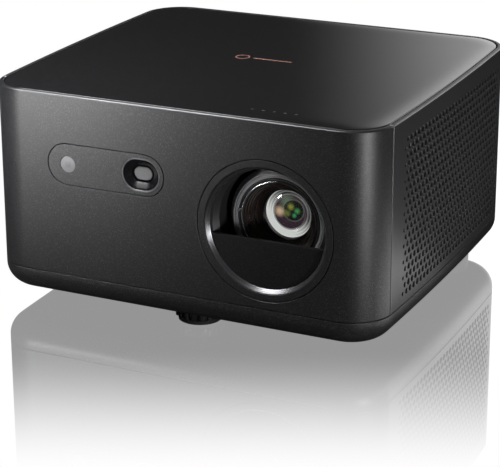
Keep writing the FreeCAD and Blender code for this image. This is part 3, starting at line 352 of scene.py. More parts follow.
def heal(obj: Obj, sharp: float = 30.0) -> Obj:
    """Merge doubled points, turn the faces outwards and shade smooth up to an angle.

    Args:
        obj: The object whose mesh is mended in place.
        sharp: Edges that turn by more than this many degrees stay crisp.

    Returns:
        The same object.
    """
    work = bmesh.new()
    work.from_mesh(obj.data)
    bmesh.ops.remove_doubles(work, verts=work.verts, dist=2e-6)
    bmesh.ops.recalc_face_normals(work, faces=work.faces)
    work.to_mesh(obj.data)
    work.free()
    obj.data.shade_smooth()
    obj.data.set_sharp_from_angle(angle=math.radians(sharp))
    return obj


def piece(name: str, points: Sequence[Point], faces: Sequence[Sequence[int]], finish: Optional[Finish] = None,
          sharp: float = 30.0) -> Obj:
    """A mesh object from points in millimetres.

    Args:
        name: The piece's name.
        points: The mesh's points.
        faces: The faces, as point numbers.
        finish: What it is made of; a cutter has none.
        sharp: The angle above which an edge stays crisp.

    Returns:
        The object, linked to the scene.
    """
    mesh = bpy.data.meshes.new(name)
    mesh.from_pydata([tuple(part * MM for part in point) for point in points], [], [list(f) for f in faces])
    mesh.validate()
    obj = bpy.data.objects.new(name, mesh)
    bpy.context.scene.collection.objects.link(obj)
    if finish is not None:
        mesh.materials.append(finish.material())
    return heal(obj, sharp)


def rounded(corners: Sequence[tuple[float, float, float]], steps: int = 4) -> list[Pair]:
    """A closed outline with its corners rounded.

    Args:
        corners: Across, along and radius for each corner, in order round the outline.
        steps: How many spans each rounded corner has.

    Returns:
        The outline's points.
    """
    outline: list[Pair] = []
    for index, (u, v, radius) in enumerate(corners):
        here = Vector((u, v))
        back = Vector(corners[index - 1][:2]) - here
        ahead = Vector(corners[(index + 1) % len(corners)][:2]) - here
        angle = back.angle(ahead) if radius > 0 else math.pi
        if angle > math.pi - 0.02:
            outline.append((u, v))
            continue
        cut = min(radius / math.tan(angle / 2), 0.48 * back.length, 0.48 * ahead.length)
        centre = here + (back.normalized() + ahead.normalized()).normalized() * (cut / math.cos(angle / 2))
        spoke = here + back.normalized() * cut - centre
        end = here + ahead.normalized() * cut - centre
        sweep = (math.pi - angle) * (1 if spoke.x * end.y - spoke.y * end.x > 0 else -1)
        for step in range(steps + 1):
            turn = sweep * step / steps
            x = spoke.x * math.cos(turn) - spoke.y * math.sin(turn)
            y = spoke.x * math.sin(turn) + spoke.y * math.cos(turn)
            outline.append((centre.x + x, centre.y + y))
    return outline


def block(u: float, v: float, radius: float, steps: int = 4) -> list[Pair]:
    """A rounded rectangle's outline about the origin, from its half sizes."""
    return rounded([(-u, -v, radius), (u, -v, radius), (u, v, radius), (-u, v, radius)], steps)


def loft(name: str, rings: Sequence[Sequence[Point]], finish: Optional[Finish] = None, cyclic: bool = False,
         sharp: float = 30.0) -> Obj:
    """A skin over closed rings that have equal numbers of points.

    Args:
        name: The piece's name.
        rings: The rings, in order.
        finish: What it is made of.
        cyclic: Whether the last ring joins the first; otherwise both ends are capped.
        sharp: The angle above which an edge stays crisp.

    Returns:
        The new object.
    """
    count = len(rings[0])
    faces: list[tuple[int, ...]] = []
    for k in range(len(rings) if cyclic else len(rings) - 1):
        following = (k + 1) % len(rings)
        for i in range(count):
            j = (i + 1) % count
            faces.append((k * count + i, k * count + j, following * count + j, following * count + i))
    if not cyclic:
        faces += [tuple(range(count)), tuple(range((len(rings) - 1) * count, len(rings) * count))]
    return piece(name, [point for ring in rings for point in ring], faces, finish, sharp)


class Axis(Enum):
    """The way a turned piece's axis runs."""

    X = 0
    Y = 1
    Z = 2


@dataclass(frozen=True)
class Spindle:
    """An axis to turn pieces about, in millimetres."""

    origin: Point
    axis: Axis

    def place(self, radius: float, angle: float, along: float) -> Point:
        """The point at a radius, an angle and a distance along the axis."""
        u, v = radius * math.cos(angle), radius * math.sin(angle)
        x, y, z = self.origin
        if self.axis is Axis.X:
            return x + along, y + u, z + v
        return (x + u, y + along, z + v) if self.axis is Axis.Y else (x + u, y + v, z + along)

    def turned(self, name: str, profile: Sequence[Pair], finish: Optional[Finish] = None, segments: int = 96,
               sharp: float = 30.0) -> Obj:
        """A solid of revolution from a closed profile of (radius, along) points."""
        rings = [[self.place(radius, math.tau * s / segments, along) for radius, along in profile]
                 for s in range(segments)]
        return loft(name, rings, finish, True, sharp)


def settle(obj: Obj) -> Obj:
    """Turn what an object's modifiers make into its plain mesh."""
    bpy.context.view_layer.update()
    graph = bpy.context.evaluated_depsgraph_get()
    made = bpy.data.meshes.new_from_object(obj.evaluated_get(graph), preserve_all_data_layers=True, depsgraph=graph)
    old = obj.data
    obj.modifiers.clear()
    obj.data = made
    bpy.data.meshes.remove(old)
    made.name = obj.name
    return obj


def carve(obj: Obj, *cutters: Obj) -> Obj:
    """Cut shapes out of a piece, and remove the cutters."""
    for cutter in cutters:
        cut = obj.modifiers.new("cut", "BOOLEAN")
        cut.operation, cut.solver, cut.object = "DIFFERENCE", "EXACT", cutter
    settle(obj)
    for cutter in cutters:
        bpy.data.objects.remove(cutter)
    return obj


def merged(obj: Obj, *others: Obj) -> Obj:
    """Add other pieces' meshes to a piece, and remove those pieces."""
    work = bmesh.new()
    for each in (obj, *others):
        work.from_mesh(each.data)
    work.to_mesh(obj.data)
    work.free()
    for other in others:
        bpy.data.objects.remove(other)
    return obj


def even_shading(obj: Obj, sharp: float = 30.0) -> Obj:
    """Shade a shell so that its broad faces stay flat beside their rounded edges."""
    obj.data.shade_smooth()
    obj.data.set_sharp_from_angle(angle=math.radians(sharp))
    weighted = obj.modifiers.new("even", "WEIGHTED_NORMAL")
    weighted.keep_sharp, weighted.weight = True, 50
    return settle(obj)


def mount(obj: Obj, body: str, slot: str, *replaced: str) -> Obj:
    """Fix a finished piece to its body and hide the plain nodes it stands for."""
    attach(obj, body)
    if replaced:
        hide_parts(*replaced)
    log.info("%s rides on %s, %d faces", obj.name, body, len(obj.data.polygons))
    return obj


# ---------------------------------------------------------------- repeated pieces

class Repeats:
    """Node trees that make whatever repeats."""

    @staticmethod
    def grow(obj: Obj, tree: Tree, **values: Any) -> Obj:
        """Run a tree on an object and keep the result as its plain mesh.

        Args:
            obj: The object that the tree works on.
            tree: The tree.
            values: The tree's inputs, with spaces in their names written as underscores.

        Returns:
            The same object.
        """
        modifier = obj.modifiers.new("grow", "NODES")
        modifier.node_group = tree
        for item in tree.interface.items_tree:
            key = item.name.replace(" ", "_")
            if item.in_out == "INPUT" and key in values:
                modifier[item.identifier] = values[key]
        obj.update_tag()
        return settle(obj)

    @staticmethod
    def finish_tree(tree: Tree, entry: Node, leave: Node, made: Any) -> None:
        """End a tree in real geometry with its finish set."""
        real = add_node(tree, "GeometryNodeRealizeInstances", {0: made}).outputs[0]
        dressed = add_node(tree, "GeometryNodeSetMaterial", {"Geometry": real, "Material": entry.outputs["Finish"]})
        plug(tree, leave.inputs["Geometry"], dressed.outputs[0])

    @staticmethod
    @cache
    def ring_tree() -> Tree:
        """Copies of a part set evenly round the Z axis, joined to the piece they are on."""
        tree, entry, leave = new_tree("set_round_a_circle", "GeometryNodeTree", {
            "Geometry": ("Geometry", None), "Part": ("Object", None), "Count": ("Int", 12),
            "Radius": ("Float", 0.01), "Finish": ("Material", None)}, {"Geometry": "Geometry"})
        circle = add_node(tree, "GeometryNodeMeshCircle", {
            "Vertices": entry.outputs["Count"], "Radius": entry.outputs["Radius"]}).outputs[0]
        part = add_node(tree, "GeometryNodeObjectInfo", {"Object": entry.outputs["Part"]}).outputs["Geometry"]
        index = add_node(tree, "GeometryNodeInputIndex").outputs[0]
        turn = calc(tree, "MULTIPLY", index, calc(tree, "DIVIDE", math.tau, entry.outputs["Count"]))
        euler = add_node(tree, "ShaderNodeCombineXYZ", {"Z": turn}).outputs[0]
        rotation = add_node(tree, "FunctionNodeEulerToRotation", {0: euler}).outputs[0]
        copies = add_node(tree, "GeometryNodeInstanceOnPoints", {
            "Points": circle, "Instance": part, "Rotation": rotation}).outputs[0]
        joined = add_node(tree, "GeometryNodeJoinGeometry")
        plug(tree, joined.inputs[0], entry.outputs["Geometry"])
        plug(tree, joined.inputs[0], copies)
        Repeats.finish_tree(tree, entry, leave, joined.outputs[0])
        return tree

    @staticmethod
    @cache
    def row_tree() -> Tree:
        """Copies of the piece in a straight row."""
        tree, entry, leave = new_tree("set_in_a_row", "GeometryNodeTree", {
            "Geometry": ("Geometry", None), "Count": ("Int", 5), "Step": ("Vector", (0.01, 0.0, 0.0)),
            "Finish": ("Material", None)}, {"Geometry": "Geometry"})
        line = add_node(tree, "GeometryNodeMeshLine", {
            "Count": entry.outputs["Count"], "Offset": entry.outputs["Step"]}, mode="OFFSET").outputs[0]
        copies = add_node(tree, "GeometryNodeInstanceOnPoints", {
            "Points": line, "Instance": entry.outputs["Geometry"]}).outputs[0]
        Repeats.finish_tree(tree, entry, leave, copies)
        return tree

    @staticmethod
    @cache
    def vent_tree() -> Tree:
        """Drills holes on a triangular pitch into a bowed panel, smaller towards the two ends."""
        tree, entry, leave = new_tree("drill_vents", "GeometryNodeTree", {
            "Geometry": ("Geometry", None), "Drill": ("Object", None), "Rows": ("Int", 20),
            "Columns": ("Int", 30), "Pitch": ("Float", 0.005), "First Y": ("Float", 0.0),
            "First Z": ("Float", 0.0), "Half Width": ("Float", 0.1), "Bow": ("Float", 2.0),
            "Finish": ("Material", None)}, {"Geometry": "Geometry"})
        get = entry.outputs
        index = add_node(tree, "GeometryNodeInputIndex").outputs[0]
        row = calc(tree, "FLOOR", calc(tree, "DIVIDE", calc(tree, "ADD", index, 0.5), get["Columns"]))
        within = calc(tree, "SUBTRACT", index, calc(tree, "MULTIPLY", row, get["Columns"]))
        odd = calc(tree, "MODULO", row, 2.0)
        column = calc(tree, "ADD", calc(tree, "MULTIPLY", within, 2.0), odd)
        last = calc(tree, "SUBTRACT", calc(tree, "MULTIPLY", get["Columns"], 2.0), 1.0)
        from_end = calc(tree, "MINIMUM", column, calc(tree, "SUBTRACT", last, column))
        y = calc(tree, "ADD", get["First Y"], calc(tree, "MULTIPLY", column, calc(tree, "DIVIDE", get["Pitch"], 2.0)))
        z = calc(tree, "ADD", get["First Z"], calc(tree, "MULTIPLY", row, calc(
            tree, "MULTIPLY", get["Pitch"], math.sqrt(3) / 2)))
        fall = calc(tree, "DIVIDE", calc(tree, "MULTIPLY", y, y), calc(tree, "MULTIPLY", get["Bow"], 2.0))
        place = add_node(tree, "ShaderNodeCombineXYZ", {
            0: calc(tree, "SUBTRACT", get["Half Width"], fall), 1: y, 2: z}).outputs[0]
        scale: Any = 1.0
        for limit, step in ((0.5, 0.18), (1.5, 0.08), (2.5, 0.12)):
            scale = calc(tree, "SUBTRACT", scale, calc(tree, "MULTIPLY", calc(
                tree, "LESS_THAN", from_end, limit), step))
        points = add_node(tree, "GeometryNodePoints", {
            "Count": calc(tree, "MULTIPLY", get["Rows"], get["Columns"]), "Position": place}).outputs[0]
        drill = add_node(tree, "GeometryNodeObjectInfo", {"Object": get["Drill"]}).outputs["Geometry"]
        size = add_node(tree, "ShaderNodeCombineXYZ", {0: 1.0, 1: scale, 2: scale}).outputs[0]
        drills = add_node(tree, "GeometryNodeInstanceOnPoints", {
            "Points": points, "Instance": drill, "Scale": size}).outputs[0]
        real = add_node(tree, "GeometryNodeRealizeInstances", {0: drills}).outputs[0]
        cut = add_node(tree, "GeometryNodeMeshBoolean", operation="DIFFERENCE", solver="MANIFOLD")
        plug(tree, cut.inputs["Mesh 1"], get["Geometry"])
        plug(tree, cut.inputs["Mesh 2"], real)
        Repeats.finish_tree(tree, entry, leave, cut.outputs[0])
        return tree


# ---------------------------------------------------------------- body outline

@dataclass(frozen=True)
class BodyPlan:
    """The body's plan outline: straight front and back, slightly bowed sides and rounded corners."""

    width: float = 229.0
    depth: float = 207.5
    bow: float = 2270.0
    corner: float = 23.3

    def corner_spot(self) -> Pair:
        """The rear right corner's centre."""
        v = self.depth / 2 - self.corner
        return self.width / 2 - self.bow + math.sqrt((self.bow - self.corner) ** 2 - v ** 2), v

    def tangent(self) -> float:
        """The angle at which a corner meets its side, in degrees."""
        u, v = self.corner_spot()
        return math.degrees(math.atan2(v, u - (self.width / 2 - self.bow)))

    def corner_run(self, sx: int, sy: int, start: float, stop: float, spans: int = 18) -> list[Station]:
        """Stations, each a point and its outward normal, round part of one corner."""
        u, v = self.corner_spot()
        stations = []
        for k in range(spans + 1):
            angle = math.radians(start + (stop - start) * k / spans)
            normal = (math.cos(angle), math.sin(angle))
            stations.append(((sx * u + self.corner * normal[0], sy * v + self.corner * normal[1]), normal))
        return stations

    def side_run(self, spans: int = 24) -> list[Station]:
        """Stations up the right side, between its corners."""
        centre, limit = self.width / 2 - self.bow, self.tangent()
        stations = []
        for k in range(1, spans):
            angle = math.radians(-limit + 2 * limit * k / spans)
            normal = (math.cos(angle), math.sin(angle))
            stations.append(((centre + self.bow * normal[0], self.bow * normal[1]), normal))
        return stations

    def angle_at(self, y: float) -> float:
        """The corner angle, in degrees from the X axis, at a distance from the middle."""
        return math.degrees(math.asin((abs(y) - self.corner_spot()[1]) / self.corner))

    def whole(self) -> list[Station]:
        """Stations all the way round."""
        limit = self.tangent()
        right = self.corner_run(1, -1, 270, 360 - limit) + self.side_run() + self.corner_run(1, 1, limit, 90)
        left = [((-p[0], p[1]), (-n[0], n[1])) for p, n in reversed(right)]
        return right + left

    @staticmethod
    def at(station: Station, inset: float, z: float) -> Point:
        """The point behind a station at an inset and a height."""
        (x, y), (nx, ny) = station
        return x - nx * inset, y - ny * inset, z


PLAN = BodyPlan()


def wall(name: str, stations: list[Station], section: list[Pair], finish: Finish,
         edge: float = 0.25) -> Obj:
    """A cover that follows part of the outline, with a softened edge at both ends.

    Args:
        name: The piece's name.
        stations: Where it runs.
        section: Its closed section as (inset, height) points.
        finish: What it is made of.
        edge: How far its end edges are eased.

    Returns:
        The new object.
    """
    insets, heights = [p[0] for p in section], [p[1] for p in section]

    def eased(amount: float) -> list[Pair]:
        """The section drawn in by an amount."""
        return [(min(max(i, min(insets) + amount), max(insets) - amount),
                 min(max(h, min(heights) + amount), max(heights) - amount)) for i, h in section]

    def moved(station: Station, way: float) -> Station:
        """A station slid along the outline."""
        (x, y), (nx, ny) = station
        return (x - ny * way, y + nx * way), (nx, ny)

    rings = [[PLAN.at(stations[0], i, z) for i, z in eased(edge)]]
    inner = [moved(stations[0], edge)] + stations[1:-1] + [moved(stations[-1], -edge)]
    rings += [[PLAN.at(station, i, z) for i, z in section] for station in inner]
    rings.append([PLAN.at(stations[-1], i, z) for i, z in eased(edge)])
    return loft(name, rings, finish)


def paint_rim_highlight(obj: Obj) -> Obj:
    """Give a cover's rounded top edge a brighter metallic copy of its paint: a painted highlight."""
    obj.data.materials.append(RIM_HIGHLIGHT.material())
    # Faces on the outer rounded top edge take the painted highlight.
    for polygon in obj.data.polygons:
        out = polygon.normal.x * polygon.center.x + polygon.normal.y * polygon.center.y
        if polygon.center.z > (TOP - 0.95) * MM and 0.3 < polygon.normal.z < 0.97 and out > 0:
            polygon.material_index = len(obj.data.materials) - 1
    return obj


def stadium(x: float, z: float, width: float, height: float, inset: float, y: float, arc: int = 20) -> list[Point]:
    """A stadium's outline in the front's plane, drawn in by an inset."""
    radius, half = height / 2 - inset, (width - height) / 2
    ring: list[Point] = []
    for side, start in ((1, -90), (-1, 90)):
        for k in range(arc + 1):
            angle = math.radians(start + 180 * k / arc)
            ring.append((x + side * half + radius * math.cos(angle), y, z + radius * math.sin(angle)))
    return ring


def stadium_solid(name: str, x: float, z: float, size: Pair, steps: Sequence[Pair],
                  finish: Optional[Finish] = None, cyclic: bool = False) -> Obj:
    """A stadium-shaped solid in the front, from (inset, depth) steps."""
    return loft(name, [stadium(x, z, *size, inset, FRONT + depth) for inset, depth in steps], finish, cyclic)


def rectangle(x: Pair, z: Pair, radius: float, inset: float, y: float, arc: int = 6) -> list[Point]:
    """A rounded rectangle's outline in the back's plane, drawn in by an inset."""
    ring: list[Point] = []
    for sx, sz, start in ((1, -1, -90), (1, 1, 0), (-1, 1, 90), (-1, -1, 180)):
        cx = (x[1] if sx > 0 else x[0]) - sx * radius
        cz = (z[1] if sz > 0 else z[0]) - sz * radius
        for k in range(arc + 1):
            angle = math.radians(start + 90 * k / arc)
            size = radius - inset
            ring.append((cx + size * math.cos(angle), y, cz + size * math.sin(angle)))
    return ring


# ---------------------------------------------------------------- sub-assemblies

LENS = Spindle((LENS_X, FRONT, LENS_Z), Axis.Y)


@dataclass
class Shell:
    """The covers, side panels and tray."""

    low: float = TRAY_SEAM + SHUT / 2
    rim: float = 0.9
    hole: float = 38.05
    pill: tuple[float, float, float, float] = (PILL_X, PILL_Z, 69.4, 23.2)
    io_x: Pair = (-64.0, 64.0)
    io_z: Pair = (29.0, 62.0)
    screw_spots: tuple[Pair, ...] = ((-98.0, -86.0), (98.0, -86.0), (-78.5, 93.0), (78.5, 93.0))
    bores: tuple[Pair, ...] = ((10.0, 6.0), (FOOT_Y, 4.8))
    vent_grid: tuple[int, int] = (20, 30)
    vent_pitch: float = 5.0
    vent_start: Pair = (-68.56, 30.43)
    vent_radii: Pair = (1.70, 2.33)

    def section(self) -> list[Pair]:
        """The wall's section, with its rounded rim."""
        return rounded([(0, self.low, 0.3), (0, TOP, self.rim), (WALL, TOP, 0.3), (WALL, self.low, 0.2)], 5)

    def front(self) -> Obj:
        """The painted front cover, with its lens and sensor openings."""
        turn = PLAN.angle_at(FRONT_SEAM - SHUT / 2)
        stations = PLAN.corner_run(-1, -1, 180 + turn, 270) + PLAN.corner_run(1, -1, 270, 360 - turn)
        cover = wall("front_shell", stations, self.section(), COVER)
        bore = LENS.turned("bore", [(0, -1), (39.0, -1), (self.hole, 0.12), (self.hole, 9), (0, 9)], segments=128)
        x, z, width, height = self.pill
        slot = stadium_solid("slot", x, z, (width, height), ((-0.7, -0.6), (0.0, 0.12), (0.0, 8.0)))
        return mount(paint_rim_highlight(even_shading(carve(cover, bore, slot))), "root", "cover_paint", "front_cover")

    def rear(self) -> Obj:
        """The rear cover, with its socket opening."""
        turn = PLAN.angle_at(REAR_SEAM + SHUT / 2)
        stations = PLAN.corner_run(1, 1, turn, 90) + PLAN.corner_run(-1, 1, 90, 180 - turn)
        cover = wall("rear_shell", stations, self.section(), COVER)
        opening = loft("opening", [rectangle(self.io_x, self.io_z, 3.0, inset, BACK + y) for inset, y in (
            (-1.3, 1.0), (0.0, -0.3), (0.0, -8.0))])
        return mount(paint_rim_highlight(even_shading(carve(cover, opening))), "root", "cover_paint", "rear_cover")

    def sides(self) -> None:
        """Both side panels, drilled with their vents."""
        low, high = PLAN.angle_at(FRONT_SEAM + SHUT / 2), PLAN.angle_at(REAR_SEAM - SHUT / 2)
        limit = PLAN.tangent()
        stations = PLAN.corner_run(1, -1, 360 - low, 360 - limit, 3) + PLAN.side_run()
        stations += PLAN.corner_run(1, 1, limit, high, 7)
        panel = wall("side_shell_right", stations, self.section(), SIDE)
        drill = Spindle((0.0, 0.0, 0.0), Axis.X)
        bore, mouth = self.vent_radii
        rings = [[drill.place(radius, math.tau * k / 16, along) for k in range(16)] for radius, along in (
            (mouth, 0.4), (bore, -0.22), (bore, -4.0))]
        bit = loft("bit", rings)
        (rows, columns), (first_y, first_z) = self.vent_grid, self.vent_start
        Repeats.grow(panel, Repeats.vent_tree(), Drill=bit, Rows=rows, Columns=columns, Pitch=self.vent_pitch * MM,
                     First_Y=first_y * MM, First_Z=first_z * MM, Half_Width=PLAN.width / 2 * MM,
                     Bow=PLAN.bow * MM, Finish=SIDE.material())
        bpy.data.objects.remove(bit)
        twin = bpy.data.objects.new("side_shell_left", panel.data.copy())
        bpy.context.scene.collection.objects.link(twin)
        twin.data.transform(Matrix.Scale(-1, 4, (1, 0, 0)))
        for obj, node in ((panel, "side_panel_right"), (twin, "side_panel_left")):
            mount(paint_rim_highlight(even_shading(heal(obj))), "root", "side_paint", node)

    def tray(self) -> Obj:
        """The tray with its rounded lower edge, intake slots and screw wells."""
        top, edge = TRAY_SEAM - SHUT / 2, 12.0
        section = [(14.0, BASE + WALL)]
        section += [(edge - (edge - WALL) * math.sin(a), BASE + edge - (edge - WALL) * math.cos(a))
                    for a in (math.radians(15 * k) for k in range(7))]
        section += [(WALL, top), (0.3, top), (0.08, top - 0.1), (0.0, top - 0.3)]
        section += [(edge - edge * math.cos(a), BASE + edge - edge * math.sin(a))
                    for a in (math.radians(7.5 * k) for k in range(13))]
        section.append((14.0, BASE))
        stations = PLAN.whole()
        tray = loft("tray_shell", [[PLAN.at(station, i, z) for station in stations] for i, z in section], TRAY)
        wells = [Spindle((x, y, BASE), Axis.Z).turned("well", rounded([
            (0, -1, 0), (4.0, -1, 0), (3.2, 0.3, 0), (3.2, 12, 0), (0, 12, 0)]), segments=32)
            for x, y in self.screw_spots]
        wells += [Spindle((0, y, BASE), Axis.Z).turned(
            "well", [(0, -1), (radius, -1), (radius, 9), (0, 9)], segments=48) for y, radius in self.bores]
        slot = loft("slots", [[(x, -z - 40.0, y) for x, y, z in stadium(-67, 0, 42, 2.5, inset, height, 5)]
                              for inset, height in ((-0.9, BASE - 0.8), (0, BASE + 0.2), (0, BASE + 9))])
        Repeats.grow(slot, Repeats.row_tree(), Count=12, Step=(0.0, 5.5 * MM, 0.0), Finish=TRAY.material())
        return mount(even_shading(carve(tray, *wells, heal(slot))), "root", "tray_paint", "bottom_tray")

    def build(self) -> None:
        """Make every outer cover."""
        self.front()
        self.rear()
        self.sides()
        self.tray()


@dataclass
class TopPlate:
    """The gloss top with its mark and its row of pips."""

    inset: float = 3.1
    crown: float = 0.45
    mark: Pair = (-11.0, 4.0)
    pip_row: tuple[float, float, float, float, int] = (38.0, -88.0, 6.0, 0.8, 5)

    def plate(self) -> Obj:
        """The plate, very slightly crowned inside its polished edge."""
        high = 124.96
        section = [(14.0, 121.9), (self.inset, 121.9), (self.inset, 123.9)]
        section += [(self.inset + 0.8 * (1 - math.cos(a)), high - self.crown - 0.8 * (1 - math.sin(a)))
                    for a in (math.radians(18 * k) for k in range(6))]
        section += [(self.inset + 0.8 + 9.0 * t, high - self.crown * (1 - t) ** 2) for t in (0.15, 0.35, 0.6, 1.0)]
        section.append((18.0, high))
        stations = PLAN.whole()
        plate = loft("top_gloss_plate", [[PLAN.at(s, i, z) for s in stations] for i, z in section], TOP_GLOSS)
        return mount(even_shading(plate), "root", "top_gloss", "top_plate")

    def inlay(self) -> Obj:
        """The ring and bar, proud of the plate by a hair."""
        x, y = self.mark
        ring = Spindle((x, y, 0.0), Axis.Z).turned("top_mark", rounded([
            (3.3, 124.8, 0), (3.3, 125.0, 0.02), (4.2, 125.0, 0.02), (4.2, 124.8, 0)], 2), INLAY, 64)
        bar = loft("bar", [[(px, y + pz, h) for px, h, pz in stadium(x + 18.25, 0, 23.5, 1.2, i, h, 6)]
                           for i, h in ((0, 124.8), (0, 124.98), (0.02, 125.0))], INLAY)
        return mount(merged(ring, bar), "root", "inlay_metal", "top_inlay")

    def pips(self) -> Obj:
        """Five small pips near the front edge."""
        x, y, step, radius, count = self.pip_row
        pip = Spindle((x, y, 0.0), Axis.Z).turned("top_pips", rounded([
            (0, 124.8, 0), (radius, 124.8, 0), (radius, 124.99, 0.03), (0, 124.99, 0)], 2), PIPS, 20)
        Repeats.grow(pip, Repeats.row_tree(), Count=count, Step=(step * MM, 0.0, 0.0), Finish=PIPS.material())
        return mount(pip, "root", "pip_lens", "top_indicators")

    def build(self) -> None:
        """Make the plate and what is let into it."""
        self.plate()
        self.inlay()
        self.pips()


@dataclass
class SensorWindow:
    """The pill-shaped window with its eye and its camera recess."""

    x: float = PILL_X
    z: float = PILL_Z
    width: float = 68.5
    height: float = 22.3
    eye: Pair = (-61.8, 4.5)
    camera_x: float = -18.5
    recess: Pair = (22.3, 18.0)
    pane: Pair = (10.3, 6.9)
    border: float = 1.3

    def face(self) -> Obj:
        """The window's face, cut for the eye and the camera."""
        plate = stadium_solid("pill_face", self.x, self.z, (self.width, self.height), (
            (0.18, 0.05), (0.05, 0.1), (0.0, 0.25), (0.0, 2.4)), WINDOW)
        eye = Spindle((self.eye[0], FRONT, self.z), Axis.Y).turned(
            "eye_bore", [(0, -1), (5.6, -1), (4.55, 0.2), (4.55, 6), (0, 6)], segments=48)
        recess = stadium_solid("camera_bore", self.camera_x, self.z, self.recess, (
            (-0.8, -0.6), (0.0, 0.25), (0.0, 6.0)))
        return mount(even_shading(carve(plate, eye, recess)), "root", "window_plastic", "sensor_window")

    def infrared_eye(self) -> None:
        """The frosted disc and the darker square behind its middle."""
        x, radius = self.eye
        spindle = Spindle((x, FRONT, self.z), Axis.Y)
        disc = spindle.turned("eye_disc", rounded([(0, 0.12, 0), (radius - 0.05, 0.12, 0.15), (radius - 0.05, 1.6, 0),
                                                   (0, 1.6, 0)]), EYE, 48)
        mount(disc, "root", "eye_grey", "ir_lens")
        half = (x - 1.6, x + 1.6), (self.z - 1.6, self.z + 1.6)
        core = loft("eye_square", [rectangle(*half, 0.6, inset, FRONT + y) for inset, y in (
            (0.15, 0.09), (0.0, 0.12), (0.0, 0.3))], EYE_CORE)
        mount(core, "root", "eye_grey")

    def camera(self) -> None:
        """The bevelled bezel, the polished funnel and the pane at its end."""
        x, z, (wide, high), (pane_w, pane_h) = self.camera_x, self.z, self.recess, self.pane
        bezel = stadium_solid("camera_bezel", x, z, self.recess, (
            (0.06, 1.2), (0.06, 0.2), (0.2, 0.05), (0.5, 0.05), (0.75, 0.3), (0.75, 1.2)), BEZEL, True)
        mount(bezel, "root", "gloss_black")
        rings = [stadium(x, z, wide, high, 0.8, FRONT + 4.3), stadium(x, z, wide, high, 0.8, FRONT + 0.35)]
        throat_w, throat_h = pane_w + 2 * self.border, pane_h + 2 * self.border
        for share in (0.06, 0.3, 0.6, 0.85, 1.0):
            w, h = wide - 1.8 + share * (throat_w - wide + 1.8), high - 1.8 + share * (throat_h - high + 1.8)
            rings.append(stadium(x, z, w, h, 0.0, FRONT + 0.35 + 2.6 * share ** 1.2))
        rings.append(stadium(x, z, throat_w, throat_h, 0.0, FRONT + 4.3))
        mount(loft("camera_funnel", rings, GLOSS_BLACK, True), "root", "gloss_black", "camera_cone")
        pane = stadium_solid("camera_pane", x, z, self.pane, ((0.12, 3.25), (0.0, 3.35), (0.0, 4.1)), PANE)
        mount(pane, "root", "camera_glass", "camera_window")
        border = stadium_solid("camera_pane_border", x, z, self.pane, (
            (-0.05, 4.15), (-0.05, 3.45), (-0.25, 3.3), (0.1 - self.border, 3.3), (-self.border, 3.45),
            (-self.border, 4.15)), PANE_EDGE, True)
        mount(border, "root", "camera_glass")

    def build(self) -> None:
        """Make the window's pieces."""
        self.face()
        self.infrared_eye()
        self.camera()


